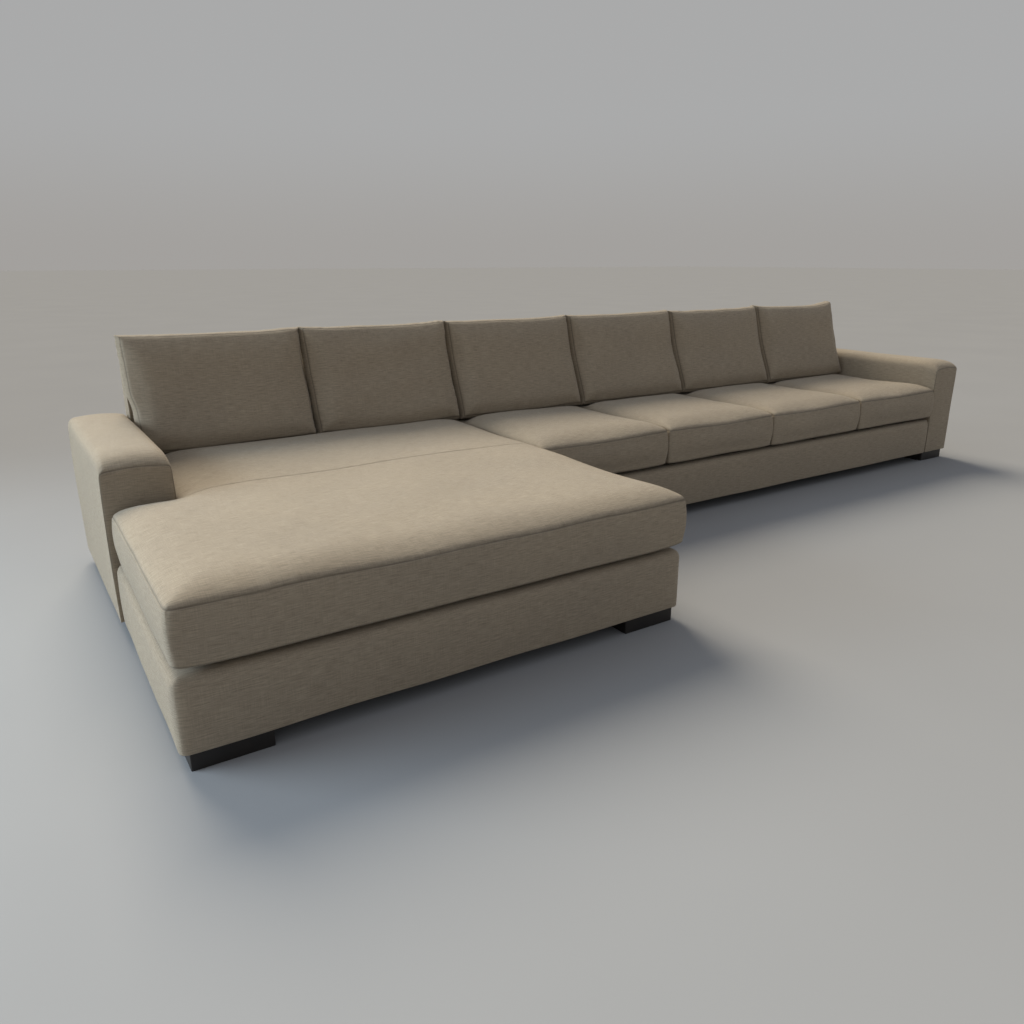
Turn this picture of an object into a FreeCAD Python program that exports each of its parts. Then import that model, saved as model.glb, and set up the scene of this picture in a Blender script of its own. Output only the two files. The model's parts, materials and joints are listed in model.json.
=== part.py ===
import FreeCAD, Part
import os

import Sketcher

# Sectional sofa: a double-width chaise with a short arm at its left end, and a four-seat run
# with a full-depth arm at its right end. Millimetres, +X to the sitter's left along the run,
# +Y to the rear, +Z up. The origin is on the floor, at the middle of the whole outline.

# Driving dimensions
SIZES = {
    # plan
    "arm_width": 236,
    "chaise_seat_width": 776,
    "sofa_seat_width": 794,
    "chaise_depth": 1940,
    "sofa_depth": 1008,
    "left_arm_depth": 956,
    "front_overhang": 12,
    "toe_inset": 12,
    # feet
    "foot_height": 58,
    "foot_length": 226,
    "foot_depth": 120,
    "foot_side_inset": 24,
    "foot_end_inset": 12,
    "foot_round": 4,
    # base frame
    "dust_cover_thickness": 1.5,
    "rail_thickness": 36,
    "rail_height": 176.5,
    "stretcher_height": 90,
    "spring_rail_setback": 260,
    "leg_block_length": 120,
    "leg_block_depth": 90,
    "leg_block_height": 60,
    # suspension
    "wire_diameter": 4,
    "spring_bar_length": 44,
    "spring_bar_pitch": 34,
    "spring_edge_inset": 12,
    "spring_clearance": 0.3,
    "clip_thickness": 1.5,
    "clip_width": 20,
    "clip_cover": 6,
    "deck_thickness": 40,
    # upholstery
    "padding": 22,
    "inner_arm_padding": 14,
    "arm_top_padding": 60,
    "band_round": 14,
    "arm_round": 32,
    "facing_round": 16,
    # arm frame
    "board_thickness": 18,
    "side_board_thickness": 9,
    "arm_wall_height": 328,
    # back frame
    "back_frame_depth": 38,
    "back_bottom_rail_height": 50,
    "back_post_height": 470,
    "back_post_width": 40,
    "back_top_rail_height": 60,
    "back_top_padding": 34,
    "back_pad_at_top": 18.5,
    "back_pad_at_deck": 88.5,
    "back_round": 14,
    "webbing_width": 60,
    "webbing_thickness": 1.5,
    # cushions
    "seat_cushion_thickness": 204,
    "cushion_core_round": 6,
    "cushion_inner_corner": 4,
    "cushion_wall": 24,
    "cushion_gap": 4,
    "toe_gap": 8,
    "fit_clearance": 0.3,
    "back_cushion_height": 505,
    "back_cushion_thickness": 118,
    "back_cushion_lean": 150,
    "back_cushion_round": 30,
    # bolts, the same for feet and arms
    "bolt_diameter": 8,
    "bolt_length": 88,
    "bolt_head_width": 13,
    "bolt_head_height": 5.3,
    "bolt_clearance": 0.25,
    "bolt_end_room": 2,
    "bolt_head_room": 1.5,
    "arm_bolt_setback": 160,
    # sectional connectors
    "connector_plate": 2.4,
    "connector_clearance": 0.2,
    "connector_side_room": 2,
    "connector_width": 80,
    "connector_height": 90,
    "connector_lip_height": 55,
    "connector_rise": 60,
    "connector_setback": 200,
    "connector_spacing": 520,
}

CHAISE_SEATS = 2
SOFA_SEATS = 4
SPRINGS_PER_SEAT = 4
STRAPS_PER_SEAT = 3
CHAISE_BAYS = 3
SOFA_BAYS = 1
ARM_BOLTS = 3
CONNECTORS = 2

# The most of a wall that a rounding may take, and a hexagon's half width over its corner radius
ROUND_SHARE = 0.8
HEXAGON_SHARE = 3 ** 0.5 / 2

doc = FreeCAD.newDocument("SectionalSofa")
sheet = doc.addObject("Spreadsheet::Sheet", "Sizes")
for row, (alias, number) in enumerate(SIZES.items(), start=1):
    sheet.set(f"A{row}", alias)
    sheet.set(f"B{row}", str(number))
    sheet.setAlias(f"B{row}", alias)
doc.recompute()


class Size:
    """A length that carries its formula in the sheet's cells and its present value."""

    def __init__(self, text, value):
        self.text = text
        self.value = value

    def joined(self, sign, other, value):
        return Size(f"({self.text} {sign} {as_size(other).text})", value)

    def __add__(self, other):
        return self.joined("+", other, self.value + as_size(other).value)

    def __sub__(self, other):
        return self.joined("-", other, self.value - as_size(other).value)

    def __mul__(self, other):
        return self.joined("*", other, self.value * as_size(other).value)

    def __truediv__(self, other):
        return self.joined("/", other, self.value / as_size(other).value)


def as_size(number):
    """A plain number as a Size; a Size stays as it is."""
    return number if isinstance(number, Size) else Size(repr(number), float(number))


def cell(alias):
    """The driving dimension with this name."""
    return Size(f"Sizes.{alias}", float(sheet.get(alias)))


def limited(size, wall):
    """A rounding that stays inside the wall it is cut from."""
    return Size(f"min({size.text}; {wall.text})", min(size.value, wall.value))


def bind(item, name, size):
    """Tie one property of a document object to the sheet."""
    item.setExpression(name, as_size(size).text)


# Places worked out from the driving dimensions. Across is measured from the left arm's outer face,
# depth forward from the rear face, and height from the floor.
pad = cell("padding")
rail = cell("rail_thickness")
board = cell("board_thickness")
gap = cell("fit_clearance")
half_gap = cell("cushion_gap") / 2
arm_width = cell("arm_width")

connector_slot = cell("connector_plate") + cell("connector_clearance") * 2
section_gap = cell("connector_plate") * 3 + connector_slot + cell("connector_side_room")
chaise_seats_end = arm_width + cell("chaise_seat_width") * CHAISE_SEATS
total_length = chaise_seats_end + cell("sofa_seat_width") * SOFA_SEATS + arm_width
total_depth = cell("chaise_depth") + cell("front_overhang")
half_length = total_length / 2
half_depth = total_depth / 2
chaise_right = chaise_seats_end - section_gap / 2
sofa_left = chaise_seats_end + section_gap / 2
right_arm_inner = total_length - arm_width

foot_top = cell("foot_height")
rail_bottom = foot_top + cell("dust_cover_thickness")
rail_top = rail_bottom + cell("rail_height")
stretcher_top = rail_bottom + cell("stretcher_height")
leg_block_top = rail_bottom + cell("leg_block_height")
clip_slot = cell("wire_diameter") + cell("spring_clearance") * 2
clip_height = clip_slot + cell("clip_thickness") * 2
deck_bottom = rail_top + clip_height
deck_top = deck_bottom + cell("deck_thickness")
arm_core_top = rail_top + board * 2 + cell("arm_wall_height")
arm_top = arm_core_top + cell("arm_top_padding")
back_bottom_rail_top = rail_top + cell("back_bottom_rail_height")
back_post_top = back_bottom_rail_top + cell("back_post_height")
back_frame_top = back_post_top + cell("back_top_rail_height")
back_top = back_frame_top + cell("back_top_padding")
back_frame_front = pad + cell("back_frame_depth")
back_pad_rear = back_frame_front + cell("webbing_thickness")
back_front_at_top = back_pad_rear + cell("back_pad_at_top")
back_front_at_deck = back_pad_rear + cell("back_pad_at_deck")
bolt_head_radius = cell("bolt_head_width") / 2 / HEXAGON_SHARE
seat_bottom = deck_top + gap
seat_top = seat_bottom + cell("seat_cushion_thickness")

toe_padding = pad - cell("toe_inset")
back_round = limited(cell("back_round"), limited(pad, cell("back_top_padding")) * ROUND_SHARE)
arm_round = limited(cell("arm_round"), cell("arm_top_padding") * ROUND_SHARE)
facing_round = limited(cell("facing_round"), pad * ROUND_SHARE)

nodes = []


def node(item, label):
    """Name a finished sub-part and put it on the list of those written out."""
    item.Label = label
    nodes.append(item)
    return item


def block(name, across, depth, height):
    """A rectangular piece between pairs of places."""
    box = doc.addObject("Part::Box", name)
    bind(box, "Length", as_size(across[1]) - across[0])
    bind(box, "Width", as_size(depth[1]) - depth[0])
    bind(box, "Height", as_size(height[1]) - height[0])
    bind(box, "Placement.Base.x", as_size(across[0]) - half_length)
    bind(box, "Placement.Base.y", half_depth - depth[1])
    bind(box, "Placement.Base.z", height[0])
    return box


def group(name, pieces):
    """Several solids that share one node."""
    compound = doc.addObject("Part::Compound", name)
    compound.Links = pieces
    return compound


def cut(name, base, tools):
    """A piece less its holes."""
    result = doc.addObject("Part::Cut", name)
    result.Base = base
    result.Tool = tools[0] if len(tools) == 1 else group(name + "_tools", tools)
    return result


def upright_rod(name, across, depth, height, diameter):
    """A vertical round rod, or the tool for a vertical hole."""
    rod = doc.addObject("Part::Cylinder", name)
    bind(rod, "Radius", as_size(diameter) / 2)
    bind(rod, "Height", as_size(height[1]) - height[0])
    bind(rod, "Placement.Base.x", as_size(across) - half_length)
    bind(rod, "Placement.Base.y", half_depth - depth)
    bind(rod, "Placement.Base.z", height[0])
    return rod


def origin_part(body, role):
    """One of a body's own origin planes or axes."""
    return next(item for item in body.Origin.OriginFeatures if item.Role == role)


def rounded(body, base, radius, chosen=None):
    """Fillet a body's edges: all of them, or those that the chosen test picks."""
    doc.recompute()
    fillet = body.newObject("PartDesign::Fillet", body.Name + "_round")
    if chosen is None:
        fillet.Base = (base, [])
        fillet.UseAllEdges = True
    else:
        edges = enumerate(base.Shape.Edges, start=1)
        fillet.Base = (base, [f"Edge{number}" for number, edge in edges if chosen(edge.CenterOfMass)])
    bind(fillet, "Radius", radius)
    return fillet


def soft_block(name, rectangles, height, radius, chosen=None, corner=None):
    """A padded body over one or more abutting rectangles, with rounded edges.

    The body's own origin is at the left, front and floor corner of the whole outline. An inside
    corner, at its place across and in depth, gets a small rounding of its own first."""
    body = doc.addObject("PartDesign::Body", name)
    for number, (across, depth) in enumerate(rectangles, start=1):
        box = body.newObject("PartDesign::AdditiveBox", f"{name}_box_{number}")
        bind(box, "Length", as_size(across[1]) - across[0])
        bind(box, "Width", as_size(depth[1]) - depth[0])
        bind(box, "Height", as_size(height[1]) - height[0])
        bind(box, "Placement.Base.x", across[0])
        bind(box, "Placement.Base.y", total_depth - depth[1])
        bind(box, "Placement.Base.z", height[0])
    if corner is None:
        rounded(body, box, radius, chosen)
    else:
        inner_round = cell("cushion_inner_corner")

        def near_corner(middle, reach):
            upright = height[0].value < middle.z - 1 and middle.z + 1 < height[1].value
            on_corner = abs(middle.x - corner[0].value) < reach
            return upright and on_corner and abs(middle.y - (total_depth - corner[1]).value) < reach

        small = rounded(body, box, inner_round, lambda middle: near_corner(middle, 1))
        rounded(body, small, radius, lambda middle: not near_corner(middle, inner_round.value * 2))
    place_at_corner(body, 0)
    return body


def place_at_corner(body, across):
    """Set a body's own origin on the outline's front line, at a place across."""
    bind(body, "Placement.Base.x", as_size(across) - half_length)
    bind(body, "Placement.Base.y", as_size(0) - half_depth)


def side_profile(name, across, outline):
    """A body with one outline of (depth, height) points, carried from side to side."""
    body = doc.addObject("PartDesign::Body", name)
    sketch = body.newObject("Sketcher::SketchObject", name + "_outline")
    sketch.AttachmentSupport = [(origin_part(body, "YZ_Plane"), "")]
    sketch.MapMode = "FlatFace"
    corners = [(total_depth - depth, as_size(height)) for depth, height in outline]
    for number, corner in enumerate(corners):
        after = corners[(number + 1) % len(corners)]
        start = FreeCAD.Vector(corner[0].value, corner[1].value, 0)
        end = FreeCAD.Vector(after[0].value, after[1].value, 0)
        sketch.addGeometry(Part.LineSegment(start, end), False)
    for number, corner in enumerate(corners):
        after = (number + 1) % len(corners)
        sketch.addConstraint(Sketcher.Constraint("Coincident", number, 2, after, 1))
        for direction, size in zip(("DistanceX", "DistanceY"), corner):
            index = sketch.addConstraint(Sketcher.Constraint(direction, number, 1, size.value))
            bind(sketch, f"Constraints[{index}]", size)
    sweep = body.newObject("PartDesign::Pad", name + "_pad")
    sweep.Profile = sketch
    bind(sweep, "Length", as_size(across[1]) - across[0])
    place_at_corner(body, across[0])
    return body, sweep


def bolt(name, across, depth, seat):
    """A hexagon bolt that points down, with its head's underside at the seat."""
    shank = upright_rod(name + "_shank", across, depth, (seat - cell("bolt_length"), seat),
                        cell("bolt_diameter"))
    head = doc.addObject("Part::Prism", name + "_head")
    head.Polygon = 6
    bind(head, "Circumradius", bolt_head_radius)
    bind(head, "Height", cell("bolt_head_height"))
    bind(head, "Placement.Base.x", as_size(across) - half_length)
    bind(head, "Placement.Base.y", half_depth - depth)
    bind(head, "Placement.Base.z", seat)
    whole = doc.addObject("Part::Fuse", name)
    whole.Base = shank
    whole.Tool = head
    return whole


def bolt_hole(name, across, depth, seat):
    """The tool for one bolt's hole, a little longer than the bolt below its seat."""
    bottom = seat - cell("bolt_length") - cell("bolt_end_room")
    return upright_rod(name, across, depth, (bottom, seat),
                       cell("bolt_diameter") + cell("bolt_clearance") * 2)


class Section:
    """The outline of one section, from which its frame takes its places."""

    def __init__(self, name, left, right, depth, seats_start, seat_width, seats, bays):
        self.name = name
        self.left = as_size(left)
        self.right = right
        self.depth = depth
        self.seats_start = seats_start
        self.seat_width = seat_width
        self.seats = seats
        self.bays = bays
        self.frame_left = self.left + pad
        self.frame_right = right - pad
        self.frame_front = depth - pad
        self.inside_left = self.frame_left + rail
        self.inside_right = self.frame_right - rail
        self.inside_rear = pad + rail
        self.inside_front = self.frame_front - rail
        spring_span = self.inside_front - cell("spring_rail_setback")
        self.bay_pitch = spring_span / bays
        self.bay_clear = self.bay_pitch - rail

    def legs(self):
        """The spans across and in depth of each leg's block inside the rails and foot below it."""
        side_inset = cell("foot_side_inset")
        end_inset = cell("foot_end_inset")
        block_length = cell("leg_block_length")
        block_depth = cell("leg_block_depth")
        foot_length = cell("foot_length")
        foot_depth = cell("foot_depth")
        sides = (
            ((self.inside_left, self.inside_left + block_length),
             (self.left + side_inset, self.left + side_inset + foot_length)),
            ((self.inside_right - block_length, self.inside_right),
             (self.right - side_inset - foot_length, self.right - side_inset)),
        )
        ends = (
            ((self.inside_rear, self.inside_rear + block_depth), (end_inset, end_inset + foot_depth)),
            ((self.inside_front - block_depth, self.inside_front),
             (self.depth - end_inset - foot_depth, self.depth - end_inset)),
        )
        found = [Leg(block_across, block_depths, foot_across, foot_depths)
                 for block_across, foot_across in sides for block_depths, foot_depths in ends]
        if self.seats > CHAISE_SEATS:
            middle = self.seats_start + self.seat_width * (self.seats // 2) + rail / 2
            centre = self.depth / 2
            foot_middle = middle + block_length / 2
            found.append(Leg(
                (middle, middle + block_length),
                (centre - block_depth / 2, centre + block_depth / 2),
                (foot_middle - foot_length / 2, foot_middle + foot_length / 2),
                (centre - foot_depth / 2, centre + foot_depth / 2)))
        return found


class Leg:
    """One foot, the block that it is bolted to, and the bolt's place, where the two overlap."""

    def __init__(self, block_across, block_depth, foot_across, foot_depth):
        self.block_across = block_across
        self.block_depth = block_depth
        self.foot_across = foot_across
        self.foot_depth = foot_depth
        rear = later(block_depth[0], foot_depth[0])
        front = earlier(block_depth[1], foot_depth[1])
        left = later(block_across[0], foot_across[0])
        right = earlier(block_across[1], foot_across[1])
        self.bolt_place = ((left + right) / 2, (rear + front) / 2)


def later(first, second):
    """The larger of two places."""
    return Size(f"max({first.text}; {second.text})", max(first.value, second.value))


def earlier(first, second):
    """The smaller of two places."""
    return Size(f"min({first.text}; {second.text})", min(first.value, second.value))


def ordered(first, second):
    """Two places, the lower one first."""
    return (first, second) if first.value < second.value else (second, first)


def base_frame(section, arm_rail, arm_bolts):
    """Rails, stretchers, spring rails and leg blocks of one section's base."""
    name = section.name
    rail_height = (rail_bottom, rail_top)
    long_across = (section.frame_left, section.frame_right)
    rear = block(name + "_rear_rail", long_across, (pad, section.inside_rear), rail_height)
    front = block(name + "_front_rail", long_across,
                  (section.inside_front, section.frame_front), rail_height)
    node(group(name + "_long_rails", [rear, front]), name + "_long_rails")

    between = (section.inside_rear, section.inside_front)
    left = block(name + "_left_rail", (section.frame_left, section.inside_left), between, rail_height)
    right = block(name + "_right_rail", (section.inside_right, section.frame_right), between,
                  rail_height)
    holes = [bolt_hole(f"{name}_rail_hole_{number}", across, depth, rail_top + board)
             for number, (across, depth) in enumerate(arm_bolts, start=1)]
    if arm_rail == "left":
        left = cut(name + "_left_rail_drilled", left, holes)
    else:
        right = cut(name + "_right_rail_drilled", right, holes)
    node(group(name + "_side_rails", [left, right]), name + "_side_rails")

    first = section.seats_start if arm_rail == "left" else section.seats_start + section.seat_width
    stretchers = []
    for number in range(section.seats):
        middle = first + section.seat_width * number
        stretchers.append(block(f"{name}_stretcher_{number + 1}", (middle - rail / 2, middle + rail / 2),
                                between, (rail_bottom, stretcher_top)))
    node(group(name + "_stretchers", stretchers), name + "_stretchers")

    spring_rails = []
    for number in range(section.bays):
        start = cell("spring_rail_setback") - rail + section.bay_pitch * number
        spring_rails.append(block(f"{name}_spring_rail_{number + 1}",
                                  (section.inside_left, section.inside_right),
                                  (start, start + rail), (stretcher_top, rail_top)))
    node(group(name + "_spring_rails", spring_rails), name + "_spring_rails")

    blocks = []
    for number, leg in enumerate(section.legs(), start=1):
        plain = block(f"{name}_leg_block_{number}", leg.block_across, leg.block_depth,
                      (rail_bottom, leg_block_top))
        hole = bolt_hole(f"{name}_leg_block_hole_{number}", *leg.bolt_place, leg_block_top)
        blocks.append(cut(f"{name}_leg_block_drilled_{number}", plain, [hole]))
    node(group(name + "_leg_blocks", blocks), name + "_leg_blocks")


def is_upright(middle):
    """Picks a foot's four vertical edges by their middles."""
    return abs(middle.z - foot_top.value / 2) < 1


def feet_and_bolts(section, arm_bolts):
    """Block feet, the dust cover that they clamp, and the section's bolts."""
    name = section.name
    legs = list(enumerate(section.legs(), start=1))
    feet = []
    for number, leg in legs:
        foot = soft_block(f"{name}_foot_block_{number}", [(leg.foot_across, leg.foot_depth)],
                          (0, foot_top), cell("foot_round"), is_upright)
        hole = bolt_hole(f"{name}_foot_hole_{number}", *leg.bolt_place, leg_block_top)
        feet.append(cut(f"{name}_foot_{number}", foot, [hole]))
    node(group(name + "_feet", feet), name + "_feet")

    lining = block(name + "_dust_sheet", (section.frame_left, section.frame_right),
                   (pad, section.frame_front), (foot_top, rail_bottom))
    holes = [bolt_hole(f"{name}_dust_hole_{number}", *leg.bolt_place, leg_block_top)
             for number, leg in legs]
    node(cut(name + "_dust_cover", lining, holes), name + "_dust_cover")

    bolts = [bolt(f"{name}_foot_bolt_{number}", *leg.bolt_place, leg_block_top)
             for number, leg in legs]
    bolts += [bolt(f"{name}_arm_bolt_{number}", *place, rail_top + board)
              for number, place in enumerate(arm_bolts, start=1)]
    node(group(name + "_bolts", bolts), name + "_bolts")


def spring_shape(bars, pitch):
    """One sinuous spring: bars side to side, joined by half rounds, running forward."""
    half = cell("spring_bar_length").value / 2
    edges = []
    for number in range(bars):
        side = 1 if number % 2 == 0 else -1
        start = FreeCAD.Vector(-half * side, -number * pitch, 0)
        end = FreeCAD.Vector(half * side, -number * pitch, 0)
        edges.append(Part.LineSegment(start, end).toShape())
        if number + 1 < bars:
            after = end - FreeCAD.Vector(0, pitch, 0)
            crest = end + FreeCAD.Vector(side * pitch / 2, -pitch / 2, 0)
            edges.append(Part.Arc(end, crest, after).toShape())
    radius = cell("wire_diameter").value / 2
    start = FreeCAD.Vector(-half, 0, 0)
    ring = Part.Wire([Part.makeCircle(radius, start, FreeCAD.Vector(1, 0, 0))])
    return Part.Wire(edges).makePipeShell([ring], True, False)


def suspension(section):
    """Seat springs, the clips that hold their ends, and the deck that lies on the clips."""
    name = section.name
    count = section.seats * SPRINGS_PER_SEAT
    spacing = section.seat_width / SPRINGS_PER_SEAT
    first_across = section.seats_start + spacing / 2
    inset = cell("spring_edge_inset")
    span = section.bay_clear + inset * 2
    bars = round(span.value / cell("spring_bar_pitch").value) + 1
    spring = spring_shape(bars, span.value / (bars - 1))
    level = rail_top + cell("clip_thickness") + cell("spring_clearance") + cell("wire_diameter") / 2
    copies = []
    for bay in range(section.bays):
        rear_bar = cell("spring_rail_setback") - inset + section.bay_pitch * bay
        for number in range(count):
            across = first_across + spacing * number
            copy = spring.copy()
            copy.translate(FreeCAD.Vector(across.value, -rear_bar.value, level.value))
            copies.append(copy)
    springs = doc.addObject("Part::Feature", name + "_seat_springs")
    springs.Shape = Part.makeCompound(copies)
    bind(springs, "Placement.Base.x", as_size(0) - half_length)
    bind(springs, "Placement.Base.y", half_depth)
    node(springs, name + "_seat_springs")

    reach = cell("wire_diameter") / 2 + cell("spring_clearance")
    rear_bar = cell("spring_rail_setback") - inset
    front_bar = rear_bar + span
    clips = []
    for end, bar, back, mouth in (("rear", rear_bar, -1, 1), ("front", front_bar, 1, -1)):
        clip = doc.addObject("PartDesign::Body", f"{name}_{end}_clips")
        closed = bar + (reach + cell("clip_thickness")) * back
        opened = bar + cell("clip_cover") * mouth
        shape_sizes = (
            ("PartDesign::AdditiveBox", ordered(closed, opened), (rail_top, deck_bottom)),
            ("PartDesign::SubtractiveBox", ordered(bar + reach * back, opened),
             (rail_top + cell("clip_thickness"), deck_bottom - cell("clip_thickness"))),
        )
        features = []
        for kind, depth, height in shape_sizes:
            box = clip.newObject(kind, f"{name}_{end}_clip_{len(features)}")
            bind(box, "Length", cell("clip_width"))
            bind(box, "Width", depth[1] - depth[0])
            bind(box, "Height", height[1] - height[0])
            bind(box, "Placement.Base.x", first_across - cell("clip_width") / 2)
            bind(box, "Placement.Base.y", total_depth - depth[1])
            bind(box, "Placement.Base.z", height[0])
            features.append(box)
        doc.recompute()
        pattern = clip.newObject("PartDesign::LinearPattern", f"{name}_{end}_clip_rows")
        pattern.Originals = features
        pattern.Direction = (origin_part(clip, "X_Axis"), [""])
        pattern.Occurrences = count
        bind(pattern, "Length", spacing * (count - 1))
        if section.bays > 1:
            pattern.Direction2 = (origin_part(clip, "Y_Axis"), [""])
            pattern.Reversed2 = True
            pattern.Occurrences2 = section.bays
            bind(pattern, "Length2", section.bay_pitch * (section.bays - 1))
        clip.Tip = pattern
        place_at_corner(clip, 0)
        clips.append(clip)
    node(group(name + "_spring_clips", clips), name + "_spring_clips")


def back_of(section, across):
    """Back frame, webbing and the inside and outside upholstery of one section's back."""
    name = section.name
    inner = (across[0] + pad, across[1] - pad)
    frame_depth = (pad, back_frame_front)
    frame = [
        block(name + "_back_bottom_rail", inner, frame_depth, (rail_top, back_bottom_rail_top)),
        block(name + "_back_top_rail", inner, frame_depth, (back_post_top, back_frame_top)),
    ]
    post = cell("back_post_width")
    run = inner[1] - inner[0] - post
    for number in range(section.seats + 1):
        start = inner[0] + run * number / section.seats
        frame.append(block(f"{name}_back_post_{number + 1}", (start, start + post), frame_depth,
                           (back_bottom_rail_top, back_post_top)))
    node(group(name + "_back_frame", frame), name + "_back_frame")

    straps = []
    count = section.seats * STRAPS_PER_SEAT
    for number in range(count):
        middle = inner[0] + (inner[1] - inner[0]) * (number + 0.5) / count
        straps.append(block(f"{name}_strap_{number + 1}",
                            (middle - cell("webbing_width") / 2, middle + cell("webbing_width") / 2),
                            (back_frame_front, back_pad_rear), (rail_top, back_frame_top)))
    node(group(name + "_back_webbing", straps), name + "_back_webbing")

    inside, sweep = side_profile(name + "_inside_back", across, (
        (back_pad_rear, deck_top),
        (back_front_at_deck, deck_top),
        (back_front_at_top, back_top),
        (pad, back_top),
        (pad, back_frame_top),
        (back_pad_rear, back_frame_top),
    ))
    rounded(inside, sweep, back_round, is_back_front_top)
    node(inside, name + "_inside_back")

    panel = soft_block(name + "_outside_panel", [(across, (as_size(0), pad))], (foot_top, back_top),
                       back_round, is_back_rear_top)
    ends = [block(f"{name}_back_end_{side}", span, frame_depth, (deck_top, back_frame_top))
            for side, span in (("left", (across[0], inner[0])), ("right", (inner[1], across[1])))]
    node(group(name + "_outside_back", [panel] + ends), name + "_outside_back")


def is_back_front_top(middle):
    """Picks the long edge at the top and front of the inside back."""
    front_line = (total_depth - back_front_at_top).value
    return abs(middle.z - back_top.value) < 1 and abs(middle.y - front_line) < 1


def is_back_rear_top(middle):
    """Picks the long edge at the top and rear of the outside back."""
    return abs(middle.z - back_top.value) < 1 and abs(middle.y - total_depth.value) < 1


def arm(side, outer, inwards, depth, facing_bottom):
    """One arm: a box of boards on the base rails, padded panels, facings and a crowned top."""
    def across(first, second):
        return ordered(outer + as_size(first) * inwards, outer + as_size(second) * inwards)

    inner_face = arm_width - cell("inner_arm_padding")
    side_board = cell("side_board_thickness")
    core = (pad, inner_face)
    core_depth = (pad, depth - pad)
    wall_bottom = rail_top + board
    wall_top = wall_bottom + cell("arm_wall_height")
    wall_height = (wall_bottom, wall_top)
    between = (pad + side_board, inner_face - side_board)
    bottom = block(side + "_arm_bottom_board", across(*core), core_depth, (rail_top, wall_bottom))
    holes = [bolt_hole(f"{side}_arm_hole_{number}", *place, wall_bottom)
             for number, place in enumerate(arm_bolt_places(outer, inwards, depth), start=1)]
    boards = [
        cut(side + "_arm_bottom_drilled", bottom, holes),
        block(side + "_arm_outer_board", across(pad, pad + side_board), core_depth, wall_height),
        block(side + "_arm_inner_board", across(inner_face - side_board, inner_face), core_depth,
              wall_height),
        block(side + "_arm_rear_board", across(*between), (pad, pad + board), wall_height),
        block(side + "_arm_front_board", across(*between), (depth - pad - board, depth - pad),
              wall_height),
        block(side + "_arm_top_board", across(*core), core_depth, (wall_top, arm_core_top)),
    ]
    node(group(side + "_arm_frame", boards), side + "_arm_frame")

    front_depth = (depth - pad, depth)
    panels = [
        block(side + "_arm_outer_panel", across(0, pad), core_depth, (foot_top, arm_core_top)),
        block(side + "_arm_inner_panel", across(inner_face, arm_width), core_depth,
              (rail_top, arm_core_top)),
    ]
    if facing_bottom.value > foot_top.value:
        panels.append(block(side + "_arm_panel_end", across(0, pad), front_depth,
                            (foot_top, facing_bottom)))
    node(group(side + "_arm_side_panels", panels), side + "_arm_side_panels")

    facings = []
    for end, depths, bottom_line, outer_line in (("rear", (as_size(0), pad), foot_top, as_size(0)),
                                                 ("front", front_depth, facing_bottom, depth)):
        facings.append(soft_block(f"{side}_arm_{end}_facing", [(across(0, arm_width), depths)],
                                  (bottom_line, arm_core_top), facing_round, upright_edges(outer_line)))
    node(group(side + "_arm_facings", facings), side + "_arm_facings")

    def above_core(middle):
        return middle.z > arm_core_top.value + 1

    top = soft_block(side + "_arm_top_pad", [(across(0, arm_width), (as_size(0), depth))],
                     (arm_core_top, arm_top), arm_round, above_core)
    node(top, side + "_arm_top_pad")


def upright_edges(line):
    """A test that picks a facing's upright edges on its outer face, at this depth."""
    def chosen(middle):
        on_line = abs(middle.y - (total_depth - line).value) < 1
        return on_line and deck_top.value < middle.z < arm_core_top.value - 1
    return chosen


def arm_bolt_places(outer, inwards, depth):
    """Where the arm's bolts go down into the base's side rail, clear of the outer board."""
    clear_of_board = pad + cell("side_board_thickness") + bolt_head_radius + cell("bolt_head_room")
    across = outer + clear_of_board * inwards
    setback = cell("arm_bolt_setback")
    run = depth - setback * 2
    return [(across, setback + run * number / (ARM_BOLTS - 1)) for number in range(ARM_BOLTS)]


def hem_rounding(front_line=None, side_line=None):
    """A test that picks a band's outer top edge, on its front or side line."""
    def chosen(middle):
        on_front = front_line is not None and abs(middle.y - (total_depth - front_line).value) < 1
        on_side = side_line is not None and abs(middle.x - as_size(side_line).value) < 1
        return (on_front or on_side) and abs(middle.z - deck_top.value) < 1
    return chosen


def bands():
    """The upholstered bands round the two bases."""
    height = (foot_top, deck_top)
    band_round = limited(cell("band_round"), pad * ROUND_SHARE)
    toe_round = limited(cell("band_round"), toe_padding * ROUND_SHARE)
    front = chaise.depth
    toe_left = cell("toe_inset")
    front_band = soft_block("chaise_front_band", [((toe_left, chaise.right), (front - pad, front))],
                            height, band_round, hem_rounding(front_line=front))
    node(front_band, "chaise_front_band")
    left = soft_block("chaise_left_band", [((toe_left, chaise.frame_left),
                                            (cell("left_arm_depth"), front - pad))],
                      height, toe_round, hem_rounding(side_line=toe_left))
    right = soft_block("chaise_right_band", [((chaise.frame_right, chaise.right), (pad, front - pad))],
                       height, band_round, hem_rounding(side_line=chaise.right))
    node(group("chaise_side_bands", [left, right]), "chaise_side_bands")

    front = sofa.depth
    sofa_front = soft_block("sofa_front_band", [((sofa.left, right_arm_inner), (front - pad, front))],
                            height, band_round, hem_rounding(front_line=front))
    node(sofa_front, "sofa_front_band")
    sofa_side = block("sofa_side_band", (sofa.left, sofa.frame_left), (pad, front - pad), height)
    node(sofa_side, "sofa_side_band")


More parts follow.
